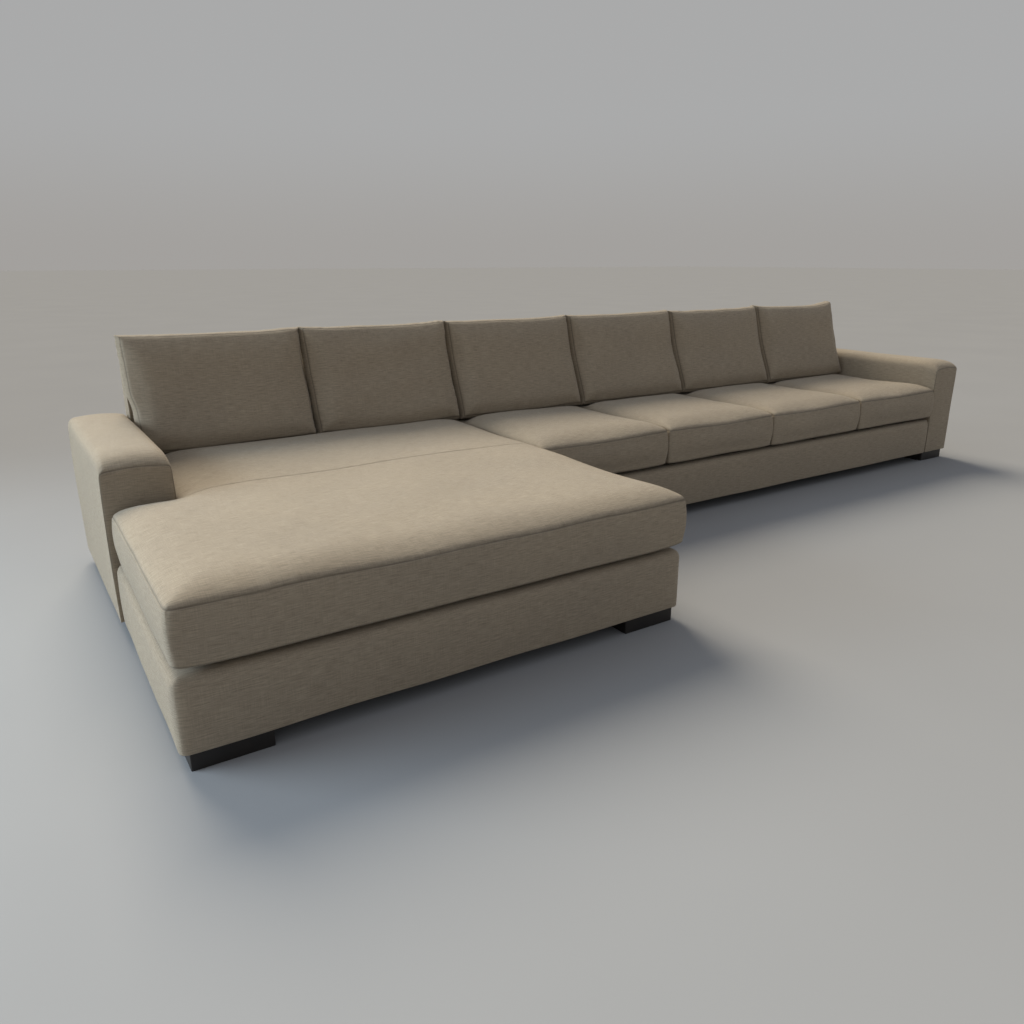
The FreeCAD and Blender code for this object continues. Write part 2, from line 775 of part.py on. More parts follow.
def decks():
    """The padded decks that the seat cushions lie on."""
    height = (deck_bottom, deck_top)
    arm_front = cell("left_arm_depth") - pad
    seat_part = block("chaise_deck_seat", (arm_width, chaise.frame_right),
                      (back_pad_rear, chaise.frame_front), height)
    toe_part = block("chaise_deck_toe", (chaise.frame_left, arm_width),
                     (arm_front, chaise.frame_front), height)
    chaise_deck = doc.addObject("Part::Fuse", "chaise_deck")
    chaise_deck.Base = seat_part
    chaise_deck.Tool = toe_part
    chaise_deck.Refine = True
    node(chaise_deck, "chaise_deck")
    node(block("sofa_deck", (sofa.frame_left, right_arm_inner), (back_pad_rear, sofa.frame_front), height),
         "sofa_deck")


def seat_cushion(label, rectangles):
    """A seat cushion: a closed cover with its fibre wrap, and the foam core inside it."""
    wall = cell("cushion_wall")
    core_round = cell("cushion_core_round")

    def shrunk(name, inset, rounding):
        inner = []
        for across, depth, joins_right in rectangles:
            right = across[1] + inset if joins_right else across[1] - inset
            inner.append(((across[0] + inset, right), (depth[0] + inset, depth[1] - inset)))
        corner = (inner[1][0][0], inner[0][1][0]) if len(inner) > 1 else None
        height = (seat_bottom + inset, seat_top - inset)
        return soft_block(name, inner, height, rounding, corner=corner)

    cover = cut(label + "_cover", shrunk(label + "_outside", as_size(0), core_round + gap + wall),
                [shrunk(label + "_hollow", wall, core_round + gap)])
    node(cover, label + "_cover")
    node(shrunk(label + "_foam", wall + gap, core_round), label + "_core")


def seat_cushions():
    """The L-shaped chaise cushion and the sofa's four box cushions."""
    rear = back_front_at_deck + gap
    overhang = cell("front_overhang")
    seat_across = (arm_width + half_gap, chaise_seats_end - half_gap)
    toe_across = (cell("toe_inset") + half_gap, seat_across[0])
    front = chaise.depth + overhang
    toe = (toe_across, (cell("left_arm_depth") + cell("toe_gap"), front), True)
    seat = (seat_across, (rear, front), False)
    seat_cushion("chaise_cushion", [toe, seat])
    for number in range(SOFA_SEATS):
        start = chaise_seats_end + cell("sofa_seat_width") * number
        across = (start + half_gap, start + cell("sofa_seat_width") - half_gap)
        seat_cushion(f"seat_cushion_{number + 1}", [(across, (rear, sofa.depth + overhang), False)])


def back_cushions():
    """Six loose back cushions that stand on the seats and lean on the back's top edge."""
    bottom = seat_top + gap
    top = bottom + cell("back_cushion_height")
    lean = cell("back_cushion_lean")
    share_at_edge = (back_top - bottom) / cell("back_cushion_height")
    rear_bottom = back_front_at_top + gap + lean * share_at_edge
    front_bottom = rear_bottom + cell("back_cushion_thickness")
    starts = [(arm_width + cell("chaise_seat_width") * number, cell("chaise_seat_width"))
              for number in range(CHAISE_SEATS)]
    starts += [(chaise_seats_end + cell("sofa_seat_width") * number, cell("sofa_seat_width"))
               for number in range(SOFA_SEATS)]
    for number, (start, width) in enumerate(starts, start=1):
        label = f"back_cushion_{number}"
        body, sweep = side_profile(label, (start + half_gap, start + width - half_gap), (
            (rear_bottom, bottom),
            (front_bottom, bottom),
            (front_bottom - lean, top),
            (rear_bottom - lean, top),
        ))
        rounded(body, sweep, cell("back_cushion_round"))
        node(body, label)


def connectors():
    """Sockets on the chaise's side and the hooks of the sofa that drop into them."""
    plate = cell("connector_plate")
    base = rail_bottom + cell("connector_rise")
    top = base + cell("connector_height")
    tongue_left = chaise_right + plate + cell("connector_clearance")
    lip_left = chaise_right + plate + connector_slot
    hook_bottom = base + plate * 3
    socket_parts = (
        ((chaise_right, chaise_right + plate), (base, top)),
        ((chaise_right, lip_left + plate), (base, base + plate)),
        ((lip_left, lip_left + plate), (base, base + cell("connector_lip_height"))),
    )
    hook_parts = (
        ((sofa_left - plate, sofa_left), (hook_bottom, top)),
        ((tongue_left, sofa_left), (top - plate, top)),
        ((tongue_left, tongue_left + plate), (hook_bottom, top)),
    )
    for label, parts in (("connector_sockets", socket_parts), ("connector_hooks", hook_parts)):
        body = doc.addObject("PartDesign::Body", label)
        features = []
        for across, height in parts:
            box = body.newObject("PartDesign::AdditiveBox", f"{label}_plate_{len(features)}")
            bind(box, "Length", across[1] - across[0])
            bind(box, "Width", cell("connector_width"))
            bind(box, "Height", height[1] - height[0])
            bind(box, "Placement.Base.x", across[0])
            bind(box, "Placement.Base.y", total_depth - cell("connector_setback") - cell("connector_width"))
            bind(box, "Placement.Base.z", height[0])
            features.append(box)
        doc.recompute()
        pattern = body.newObject("PartDesign::LinearPattern", label + "_row")
        pattern.Originals = features
        pattern.Direction = (origin_part(body, "Y_Axis"), [""])
        pattern.Reversed = True
        pattern.Occurrences = CONNECTORS
        bind(pattern, "Length", cell("connector_spacing") * (CONNECTORS - 1))
        body.Tip = pattern
        place_at_corner(body, 0)
        node(body, label)


chaise = Section("chaise", 0, chaise_right, cell("chaise_depth"), arm_width, cell("chaise_seat_width"),
                 CHAISE_SEATS, CHAISE_BAYS)
sofa = Section("sofa", sofa_left, total_length, cell("sofa_depth"), chaise_seats_end,
               cell("sofa_seat_width"), SOFA_SEATS, SOFA_BAYS)
left_bolts = arm_bolt_places(as_size(0), 1, cell("left_arm_depth"))
right_bolts = arm_bolt_places(total_length, -1, cell("sofa_depth"))

for section, arm_rail, arm_bolts in ((chaise, "left", left_bolts), (sofa, "right", right_bolts)):
    base_frame(section, arm_rail, arm_bolts)
    feet_and_bolts(section, arm_bolts)
    suspension(section)
back_of(chaise, (arm_width, chaise_right))
back_of(sofa, (sofa_left, right_arm_inner))
arm("left", as_size(0), 1, cell("left_arm_depth"), deck_top)
arm("right", total_length, -1, cell("sofa_depth"), foot_top)
bands()
decks()
seat_cushions()
back_cushions()
connectors()

doc.recompute()
for item in doc.Objects:
    if "Invalid" in item.State or "Error" in item.State:
        raise RuntimeError(f"{item.Label} did not recompute: {item.State}")
for item in nodes:
    if item.Shape.isNull() or not item.Shape.isValid():
        raise RuntimeError(f"{item.Label} has no valid shape")

os.makedirs("parts", exist_ok=True)
for item in nodes:
    item.Shape.exportStep(f"parts/{item.Label}.step")
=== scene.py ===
import json
import math

import bpy
import numpy as np
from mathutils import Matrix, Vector

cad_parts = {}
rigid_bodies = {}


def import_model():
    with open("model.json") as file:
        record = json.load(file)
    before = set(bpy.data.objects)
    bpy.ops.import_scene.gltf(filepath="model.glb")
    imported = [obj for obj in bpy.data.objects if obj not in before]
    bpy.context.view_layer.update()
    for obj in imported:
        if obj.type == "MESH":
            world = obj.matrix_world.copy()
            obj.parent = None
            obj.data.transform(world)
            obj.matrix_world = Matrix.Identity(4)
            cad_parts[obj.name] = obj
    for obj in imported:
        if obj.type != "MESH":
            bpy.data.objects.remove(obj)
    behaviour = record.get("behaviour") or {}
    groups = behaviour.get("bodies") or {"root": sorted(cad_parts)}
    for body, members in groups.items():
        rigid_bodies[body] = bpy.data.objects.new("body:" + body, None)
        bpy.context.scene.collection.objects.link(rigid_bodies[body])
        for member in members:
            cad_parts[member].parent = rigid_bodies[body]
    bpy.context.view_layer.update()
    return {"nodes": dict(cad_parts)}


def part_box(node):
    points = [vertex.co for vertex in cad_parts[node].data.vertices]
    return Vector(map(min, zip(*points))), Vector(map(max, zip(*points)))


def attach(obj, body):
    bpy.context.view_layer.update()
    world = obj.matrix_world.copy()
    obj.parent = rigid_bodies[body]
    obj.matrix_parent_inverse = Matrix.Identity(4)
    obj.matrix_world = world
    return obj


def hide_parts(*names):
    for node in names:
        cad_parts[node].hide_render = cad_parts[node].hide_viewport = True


# Looks of the sectional sofa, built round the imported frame. Metres, in the part's own frame:
# +X along the run, -Y to the front, +Z up.

for left_over in list(bpy.data.objects):
    bpy.data.objects.remove(left_over)
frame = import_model()

# Sizes that the frame's boxes don't give: the padding, the tops of rails and backs, the cushions' lean
PAD = 0.022
RAIL_TOP = 0.236
BACK_TOP = 0.850
LEAN = 0.150
BACK_CUSHIONS = range(1, 7)
SEAT_CUSHIONS = range(1, 5)

# Seams: the lattice lines beside them, how deep they are pulled in and how sharp they stay
SEAM_GUARD = 0.005
CUSHION_GUARDS = (SEAM_GUARD, 0.016, 0.034)
SKIN_GUARDS = (0.004, 0.014, 0.034)
SEAM_DEPTH = 0.003
SEAM_CREASE = 0.55

# Gathers along them: length, reach, and strength away from the corners
GATHER_LENGTH = 0.034
GATHER_REACH = 0.03
GATHER_LEVEL = 0.3

# Lattice lines nearer than this are one, a guard line has this many guards of room, and less than the last is none
SAME_LINE = 0.004
GUARD_ROOM = 1.6
TOUCH = 1e-5

# The cloth simulation
CLOTH_FRAMES = 16
CLOTH_QUALITY = 5
CLOTH_STIFFNESS = 40.0
CLOTH_BENDING = 2.0


# Curves and distances

def smooth(t):
    """An even step from 0 to 1."""
    t = np.clip(t, 0, 1)
    return t * t * (3 - 2 * t)


def roll(t):
    """A quarter round, steep at 0 and level at 1."""
    t = np.clip(t, 0, 1)
    return np.sqrt(1 - (1 - t) ** 2)


def waver(points, wavelength, seed, waves=7):
    """A smooth, seeded unevenness of about -1 to 1."""
    draw = np.random.RandomState(seed)
    total = np.zeros(len(points))
    for _ in range(waves):
        direction = draw.normal(size=3)
        direction /= np.linalg.norm(direction)
        pitch = wavelength * draw.uniform(0.7, 1.5)
        total += np.sin(points @ direction * 2 * math.pi / pitch + draw.uniform(0, 2 * math.pi))
    return total / math.sqrt(waves)


def edge_distance(x, y, outline):
    """How far points lie from a closed outline."""
    nearest = np.full(len(x), np.inf)
    for (x0, y0), (x1, y1) in zip(outline, outline[1:] + outline[:1]):
        dx, dy = x1 - x0, y1 - y0
        t = np.clip(((x - x0) * dx + (y - y0) * dy) / (dx * dx + dy * dy), 0, 1)
        nearest = np.minimum(nearest, np.hypot(x - x0 - t * dx, y - y0 - t * dy))
    return nearest


def rounded_corner(a, b, radius):
    """Distances from two sides that meet at a corner, moved on to a round of that radius."""
    inside = (a < radius) & (b < radius)
    out_a = np.where(inside, (radius - a) / radius, 0)
    out_b = np.where(inside, (radius - b) / radius, 0)
    length = np.maximum(np.hypot(out_a, out_b), 1e-9)
    scale = np.maximum(out_a, out_b) / length
    return (np.where(inside, radius - out_a * scale * radius, a),
            np.where(inside, radius - out_b * scale * radius, b))


def lines(low, high, step, guards=()):
    """Lattice lines: guard lines close to both ends, and even steps between them."""
    start = [low] + [low + g for g in guards]
    end = [high - g for g in reversed(guards)] + [high]
    count = max(1, round((end[0] - start[-1]) / step))
    return np.array([*start, *np.linspace(start[-1], end[0], count + 1)[1:-1], *end])


def with_line(places, *added, guard=SEAM_GUARD):
    """The same lines with more, each with a guard line on both sides."""
    for line in added:
        kept = [p for p in places if abs(p - line) > GUARD_ROOM * guard]
        places = sorted([*kept, line - guard, line, line + guard])
    return np.array(places)


def with_exact(places, *added):
    """The same lines, with these exact places among them."""
    for line in added:
        kept = [p for p in places if abs(p - line) > SAME_LINE]
        places = sorted([*kept, line])
    return np.array(places)


def middles(places):
    return (places[1:] + places[:-1]) / 2


class Soft:
    """A closed mesh round the filled cells of a lattice, shaped point by point."""

    def __init__(self, xs, ys, zs, filled=None):
        places = (xs, ys, zs)
        counts = [len(p) for p in places]
        cells = np.ones([n - 1 for n in counts], bool) if filled is None else filled
        ringed = np.pad(cells, 1)
        unit = np.eye(3, dtype=int)
        quads, axes = [], []
        for axis in range(3):
            b, c = unit[(axis + 1) % 3], unit[(axis + 2) % 3]
            for side in (0, 1):
                neighbour = np.roll(ringed, -1 if side else 1, axis)
                base = np.argwhere((ringed & ~neighbour)[1:-1, 1:-1, 1:-1])
                turn = (b * 0, b, b + c, c) if side else (b * 0, c, b + c, b)
                quads.append(np.stack([base + unit[axis] * side + step for step in turn], axis=1))
                axes.append(np.full(len(base), axis))
        corners = np.concatenate(quads)
        key = np.ravel_multi_index(corners.reshape(-1, 3).T, counts)
        used, inverse = np.unique(key, return_inverse=True)
        self.faces = inverse.reshape(-1, 4)
        self.face_axis = np.concatenate(axes)
        self.index = np.stack(np.unravel_index(used, counts), axis=1)
        self.last = np.array(counts) - 1
        self.flat = np.stack([np.asarray(p)[self.index[:, n]] for n, p in enumerate(places)], axis=1)
        self.place = self.flat.copy()
        self.seam = np.zeros(len(used))
        self.gather = np.zeros(len(used))
        self.run = np.zeros(len(used))

    def neighbours(self):
        """The pairs of points that share an edge."""
        pairs = np.concatenate([self.faces[:, [n, (n + 1) % 4]] for n in range(4)])
        return np.unique(np.sort(pairs, axis=1), axis=0)

    def normals(self):
        """Unit normals at the points of the present shape."""
        p = self.place[self.faces]
        face = np.cross(p[:, 2] - p[:, 0], p[:, 3] - p[:, 1])
        total = np.zeros_like(self.place)
        for n in range(4):
            np.add.at(total, self.faces[:, n], face)
        return total / np.maximum(np.linalg.norm(total, axis=1, keepdims=True), 1e-12)

    def groove(self, depth):
        """Pull the seams in."""
        self.place -= self.normals() * (self.seam * depth)[:, None]

    def object(self, name, material):
        """The present shape as an object, with the flat cloth's coordinates in metres."""
        mesh = bpy.data.meshes.new(name)
        mesh.from_pydata(self.place.tolist(), [], self.faces.tolist())
        corner = self.faces.ravel()
        u_axis = np.repeat(np.where(self.face_axis == 0, 1, 0), 4)
        v_axis = np.repeat(np.where(self.face_axis == 2, 1, 2), 4)
        cloth = np.stack([self.flat[corner, u_axis], self.flat[corner, v_axis]], axis=1)
        mesh.uv_layers.new(name="weave").data.foreach_set("uv", cloth.astype(np.float32).ravel())
        for label, values in (("seam", self.seam), ("gather", self.gather), ("run", self.run)):
            attribute = mesh.attributes.new(label, "FLOAT", "POINT")
            attribute.data.foreach_set("value", values.astype(np.float32))
        ends = np.zeros(len(mesh.edges) * 2, np.int32)
        mesh.edges.foreach_get("vertices", ends)
        seams_and_painted_shade = self.seam[ends.reshape(-1, 2)].min(axis=1) > 0.99
        crease = mesh.attributes.new("crease_edge", "FLOAT", "EDGE")
        crease.data.foreach_set("value", (seams_and_painted_shade * SEAM_CREASE).astype(np.float32))
        mesh.materials.append(material)
        piece = bpy.data.objects.new(name, mesh)
        bpy.context.scene.collection.objects.link(piece)
        return piece


def read(mesh, label):
    values = np.zeros(len(mesh.vertices), np.float32)
    mesh.attributes[label].data.foreach_get("value", values)
    return values.astype(float)


def vertices(mesh, what="co"):
    values = np.zeros(len(mesh.vertices) * 3, np.float32)
    if what == "co":
        mesh.vertices.foreach_get("co", values)
    else:
        mesh.vertex_normals.foreach_get("vector", values)
    return values.reshape(-1, 3).astype(float)


def subdivided(piece, levels=1):
    """Put subdivision into the mesh itself."""
    modifier = piece.modifiers.new("Subdivision", "SUBSURF")
    modifier.levels = modifier.render_levels = levels
    graph = bpy.context.evaluated_depsgraph_get()
    finer = bpy.data.meshes.new_from_object(piece.evaluated_get(graph), preserve_all_data_layers=True,
                                            depsgraph=graph)
    piece.modifiers.clear()
    coarse = piece.data
    piece.data = finer
    bpy.data.meshes.remove(coarse)
    finer.name = piece.name
    finer.shade_smooth()
    return piece


def ripple(piece, seed, gathers, slack, slack_length=0.30):
    """Small gathers along the seams and a slight unevenness of the cloth."""
    mesh = piece.data
    points, outward = vertices(mesh), vertices(mesh, "normal")
    run = read(mesh, "run")
    pucker = waver(np.stack([run, run * 0, run * 0], axis=1), GATHER_LENGTH, seed, waves=9)
    push = gathers * read(mesh, "gather") * pucker * (1 - read(mesh, "seam"))
    push += slack * waver(points, slack_length, seed + 1)
    mesh.vertices.foreach_set("co", (points + outward * push[:, None]).astype(np.float32).ravel())
    mesh.update()


def inflated(soft, pressure, cap, smoothing):
    """Where a cloth simulation under pressure moves the points, each by no more than the cap."""
    piece = soft.object("simulated", bpy.data.materials.new("simulated"))
    scene = bpy.context.scene
    cloth = piece.modifiers.new("Cloth", "CLOTH")
    settings = cloth.settings
    settings.quality = CLOTH_QUALITY
    settings.tension_stiffness = settings.compression_stiffness = CLOTH_STIFFNESS
    settings.shear_stiffness = CLOTH_STIFFNESS / 4
    settings.bending_stiffness = CLOTH_BENDING
    settings.use_pressure = True
    settings.uniform_pressure_force = pressure
    settings.effector_weights.gravity = 0
    cloth.collision_settings.use_collision = False
    cloth.collision_settings.use_self_collision = False
    cloth.point_cache.frame_start = 1
    cloth.point_cache.frame_end = CLOTH_FRAMES
    for number in range(1, CLOTH_FRAMES + 1):
        scene.frame_set(number)
    graph = bpy.context.evaluated_depsgraph_get()
    found = vertices(piece.evaluated_get(graph).data)
    moved = found - soft.place
    length = np.linalg.norm(moved, axis=1, keepdims=True)
    scene.frame_set(1)
    mesh = piece.data
    bpy.data.objects.remove(piece)
    bpy.data.meshes.remove(mesh)
    return eased(soft, moved / np.maximum(1, length / cap), smoothing)


def eased(soft, moved, rounds):
    """Displacements averaged over neighbouring points."""
    pairs = soft.neighbours()
    count = np.bincount(pairs.ravel(), minlength=len(moved))[:, None]
    for _ in range(rounds):
        total = np.zeros_like(moved)
        np.add.at(total, pairs[:, 0], moved[pairs[:, 1]])
        np.add.at(total, pairs[:, 1], moved[pairs[:, 0]])
        moved = 0.5 * (moved + total / count)
    return moved


# Materials

class Graph:
    """A material and the few calls that its node trees need."""

    def __init__(self, name):
        self.material = bpy.data.materials.new(name)
        self.material.use_nodes = True
        self.tree = self.material.node_tree
        self.shader = self.tree.nodes["Principled BSDF"]

    def put(self, socket, value):
        if isinstance(value, bpy.types.NodeSocket):
            self.tree.links.new(value, socket)
        else:
            socket.default_value = value

    def add(self, kind, inputs, output=0, **settings):
        made = self.tree.nodes.new("ShaderNode" + kind)
        for key, value in settings.items():
            setattr(made, key, value)
        for key, value in inputs.items():
            self.put(made.inputs[key], value)
        return made.outputs[output]

    def math(self, operation, *values):
        return self.add("Math", dict(enumerate(values)), operation=operation)

    def noise(self, vector, scale, detail, roughness):
        mapped = self.add("Mapping", {"Vector": vector, "Scale": scale})
        return self.add("TexNoise", {"Vector": mapped, "Scale": 1.0, "Detail": detail,
                                     "Roughness": roughness})

    def ramp(self, value, *stops):
        made = self.tree.nodes.new("ShaderNodeValToRGB")
        self.tree.links.new(value, made.inputs[0])
        elements = made.color_ramp.elements
        while len(elements) < len(stops):
            elements.new(0.5)
        for element, (position, colour) in zip(elements, stops):
            element.position = position
            element.color = (*colour, 1)
        return made.outputs[0]

    def blend(self, kind, factor, first, second):
        made = self.tree.nodes.new("ShaderNodeMix")
        made.data_type = "RGBA"
        made.blend_type = kind
        for index, value in ((0, factor), (6, first), (7, second)):
            self.put(made.inputs[index], value)
        return made.outputs[2]

    def between(self, value, low, high):
        return self.add("MapRange", {"Value": value, "To Min": low, "To Max": high})

    def shade(self, **values):
        for key, value in values.items():
            self.put(self.shader.inputs[key.replace("_", " ")], value)

    def bump(self, height, distance, strength):
        made = self.add("Bump", {"Height": height, "Distance": distance, "Strength": strength})
        self.put(self.shader.inputs["Normal"], made)


def grey(value):
    return (value, value, value)


def tint(colour, factor):
    return tuple(c * factor for c in colour)


LINEN = (0.300, 0.251, 0.190)
LINEN_PALE = (0.364, 0.308, 0.232)
LINEN_DARK = (0.229, 0.189, 0.139)
THREAD = 0.0017


def linen(name):
    """A woven linen look: plain weave, slubs along the weft, uneven dye, and painted shade darkening the seams."""
    g = Graph(name)
    cloth = g.add("UVMap", {}, uv_map="weave")
    part = g.add("SeparateXYZ", {"Vector": cloth}, 0)
    u, v = part.node.outputs[0], part.node.outputs[1]
    slub = g.noise(cloth, (20, 300, 1), 3.0, 0.6)
    fine = g.noise(cloth, (60, 900, 1), 2.0, 0.6)
    warp = g.noise(cloth, (700, 16, 1), 2.0, 0.5)
    dye = g.noise(cloth, (2.2, 3.4, 1), 3.0, 0.5)
    threads = g.math("ADD", g.math("MULTIPLY", slub, 0.62), g.math("MULTIPLY", fine, 0.38))
    colour = g.ramp(threads, (0.36, LINEN_DARK), (0.49, LINEN), (0.62, LINEN_PALE))
    colour = g.blend("MULTIPLY", 1.0, colour, g.ramp(warp, (0.30, grey(0.90)), (0.70, grey(1.08))))
    uneven = g.ramp(dye, (0.32, (0.965, 0.965, 0.97)), (0.68, (1.035, 1.03, 1.02)))
    colour = g.blend("MULTIPLY", 1.0, colour, uneven)
    # Painted shade: the colour darkens along the seams and stands for the shadow in the seam grooves.
    seam = g.add("Attribute", {}, 2, attribute_name="seam")
    seams_and_painted_shade = g.math("MULTIPLY", g.math("POWER", seam, 1.6), 0.72)
    colour = g.blend("MIX", seams_and_painted_shade, colour, (*tint(LINEN_DARK, 0.42), 1))
    pitch = 2 * math.pi / THREAD
    plain = g.math("MULTIPLY", g.math("SINE", g.math("MULTIPLY", u, pitch)),
                   g.math("SINE", g.math("MULTIPLY", v, pitch)))
    height = g.math("ADD", g.math("MULTIPLY", plain, 0.30), g.math("MULTIPLY", threads, 1.1))
    g.shade(Base_Color=colour, Roughness=g.between(fine, 0.80, 0.97), Specular_IOR_Level=0.22,
            Sheen_Weight=0.16, Sheen_Roughness=0.45, Sheen_Tint=(0.95, 0.93, 0.90, 1))
    g.bump(height, 0.0009, 0.55)
    return g.material


def plain_cloth(name, colour, pitch, roughness):
    """Lining cloths: a fine even weave or felt, with faint creases painted in as soft patches of shade and light.
    """
    g = Graph(name)
    place = g.add("UVMap", {}, uv_map="weave")
    fibre = g.noise(place, grey(1 / pitch), 4.0, 0.65)
    cloud = g.noise(place, grey(6.0), 3.0, 0.5)
    shade = g.ramp(fibre, (0.30, tint(colour, 0.72)), (0.70, tint(colour, 1.22)))
    # Painted shade and light: the cloud darkens and lightens the cloth in soft patches that stand for faint
    # creases.
    shade = g.blend("MULTIPLY", 1.0, shade, g.ramp(cloud, (0.3, grey(0.88)), (0.7, grey(1.08))))
    g.shade(Base_Color=shade, Roughness=g.between(cloud, roughness - 0.08, roughness + 0.06),
            Specular_IOR_Level=0.2)
    g.bump(fibre, 0.0006, 0.5)
    return g.material


def webbing(name):
    """Elastic back webbing: black stripes on a warm grey band."""
    g = Graph(name)
    place = g.add("TexCoord", {}, 3)
    rib = g.noise(place, (900, 40, 60), 2.0, 0.5)
    stripe = g.add("TexWave", {"Vector": place, "Scale": 20.0, "Distortion": 0.0},
                   bands_direction="X")
    band = g.ramp(rib, (0.3, (0.10, 0.085, 0.07)), (0.7, (0.17, 0.15, 0.125)))
    black = (0.02, 0.02, 0.022, 1)
    shade = g.blend("MIX", g.ramp(stripe, (0.55, grey(0)), (0.60, grey(1))), band, black)
    g.shade(Base_Color=shade, Roughness=g.between(rib, 0.75, 0.92))
    g.bump(rib, 0.0008, 0.5)
    return g.material


def wood(name, pale, dark, grain, roughness, coat=0.0):
    """Wood with long grain along X, pores, and slightly rubbed edges."""
    g = Graph(name)
    place = g.add("TexCoord", {}, 3)
    warped = g.add("VectorMath", {0: place, 1: g.add("TexNoise", {"Vector": place, "Scale": 3.0}, 1)},
                   operation="ADD")
    board = g.noise(warped, (1.2 * grain, 14 * grain, 18 * grain), 4.0, 0.6)
    pores = g.noise(place, (30 * grain, 420 * grain, 420 * grain), 2.0, 0.7)
    shade = g.ramp(board, (0.34, dark), (0.55, tint(pale, 0.8)), (0.72, pale))
    shade = g.blend("MULTIPLY", 1.0, shade, g.ramp(pores, (0.32, grey(0.62)), (0.5, grey(1.0))))
    edges = g.ramp(g.add("NewGeometry", {}, 7), (0.52, grey(0)), (0.62, grey(1)))
    worn = g.math("MULTIPLY", edges, 0.35)
    shade = g.blend("MIX", worn, shade, (*tint(pale, 1.7), 1))
    g.shade(Base_Color=shade, Roughness=g.between(board, roughness - 0.07, roughness + 0.10),
            Coat_Weight=coat, Coat_Roughness=0.25)
    g.bump(pores, 0.0004, 0.4)
    return g.material


def steel(name, colour, roughness, scratch):
    """Drawn or zinc-plated steel with fine scratches and duller patches."""
    g = Graph(name)
    place = g.add("TexCoord", {}, 3)
    fine = g.noise(place, (scratch, scratch * 8, scratch * 8), 3.0, 0.6)
    patch = g.noise(place, grey(18.0), 4.0, 0.6)
    shade = g.ramp(patch, (0.3, tint(colour, 0.75)), (0.7, colour))
    g.shade(Base_Color=shade, Metallic=1.0, Roughness=g.between(fine, roughness - 0.1, roughness + 0.15))
    g.bump(fine, 0.0002, 0.3)
    return g.material


def foam(name):
    """Cut upholstery foam: pale, with open cells."""
    g = Graph(name)
    place = g.add("TexCoord", {}, 3)
    cells = g.add("TexVoronoi", {"Vector": place, "Scale": 420.0})
    cloud = g.noise(place, grey(7.0), 3.0, 0.5)
    shade = g.ramp(cells, (0.0, (0.46, 0.40, 0.26)), (0.5, (0.74, 0.68, 0.50)))
    shade = g.blend("MULTIPLY", 1.0, shade, g.ramp(cloud, (0.3, grey(0.92)), (0.7, grey(1.04))))
    g.shade(Base_Color=shade, Roughness=g.between(cloud, 0.86, 0.97))
    g.bump(cells, 0.001, 0.6)
    return g.material


upholstery = linen("upholstery_linen")
platform_cloth = plain_cloth("platform_cloth", (0.165, 0.145, 0.118), pitch=0.0011, roughness=0.88)
dust_felt = plain_cloth("dust_cover_felt", (0.022, 0.022, 0.024), pitch=0.0018, roughness=0.90)
espresso = wood("espresso_wood", pale=(0.011, 0.008, 0.0065), dark=(0.004, 0.0032, 0.003), grain=1.0,
                roughness=0.52, coat=0.03)
frame_wood = wood("frame_pine", pale=(0.56, 0.40, 0.23), dark=(0.40, 0.26, 0.13), grain=0.8, roughness=0.62)
spring_wire = steel("spring_wire", (0.42, 0.42, 0.43), roughness=0.34, scratch=60.0)
zinc = steel("zinc_plated_steel", (0.62, 0.63, 0.66), roughness=0.30, scratch=40.0)
cut_foam = foam("cushion_foam")
back_webbing = webbing("back_webbing")

NODE_LOOKS = (
    ("_feet", espresso),
    ("_long_rails", frame_wood), ("_side_rails", frame_wood), ("_stretchers", frame_wood),
    ("_spring_rails", frame_wood), ("_leg_blocks", frame_wood), ("_back_frame", frame_wood),
    ("_arm_frame", frame_wood),
    ("_seat_springs", spring_wire), ("_spring_clips", zinc), ("_bolts", zinc), ("connector_", zinc),
    ("_core", cut_foam),
    ("_back_webbing", back_webbing),
)
for node_name, node_object in frame["nodes"].items():
    for ending, look in NODE_LOOKS:
        if ending in node_name:
            node_object.data.materials.clear()
            node_object.data.materials.append(look)


def finish_piece(piece, body, slot, *nodes):
    """Ride on a body and stand for CAD nodes. The slot is not used."""
    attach(piece, body)
    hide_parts(*nodes)


# Seat cushions

SEAT_STEP, BOXING_STEP = 0.021, 0.024

# The top: its rise from the seams, over what reach and how steeply, and the seams' place below the solid's top
SEAT_RISE = 0.033
SEAT_REACH = 0.15
SEAT_STEEP = 0.56
SIDE_STEEP = 2.2
SEAT_DROP = 0.014
ROLL_POWER = 2.2
MIDDLE_SHARE, MIDDLE_REACH = 0.06, 0.4
SEAT_WAVE, SEAT_WAVE_LENGTH = 0.0025, 0.7

# The rear: where the back cushions press on it, and the chaise's rise in front of them
BACK_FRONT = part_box("back_cushion_1")[0].y
PRESS_START, PRESS_REACH = 0.02, 0.06
RISE_START, RISE_LENGTH, RISE_EDGE = 0.55, 0.5, 0.2

# The bottom seams, and how the underside comes down from them
SEAT_LIFT = 0.018
UNDER_REACH, UNDER_POWER = 0.09, 1.4
CORNER_FADE = 0.07

# The plan: corners, a waist near the bottom, a swelling boxing and sides drawn in between the corners
SEAT_CORNER = 0.014
SEAT_WAIST, WAIST_TOP = 0.003, 0.4
TOP_INSET, TOP_START = 0.002, 0.7
SEAT_SWELL = 0.004
FRONT_DRAW, REAR_DRAW = 0.004, 0.002
SIDE_REACH = 0.08

# The gathers: how they fade down the boxing, where they end on it and their reach from a corner
GATHER_FALL, GATHER_END, SEAT_GATHER = 0.2, 0.55, 0.06

# The toe in front of the short arm, its room beside the arm, and the cross seam in front of that
TOE_ROUND = 0.030
TOE_DROP = 0.020
TOE_REACH = 0.25
TOE_FLARE = 0.013
TOE_SIDE_ROOM, TOE_REAR_ROOM = 0.002, 0.008
CROSS_SEAM = 0.030

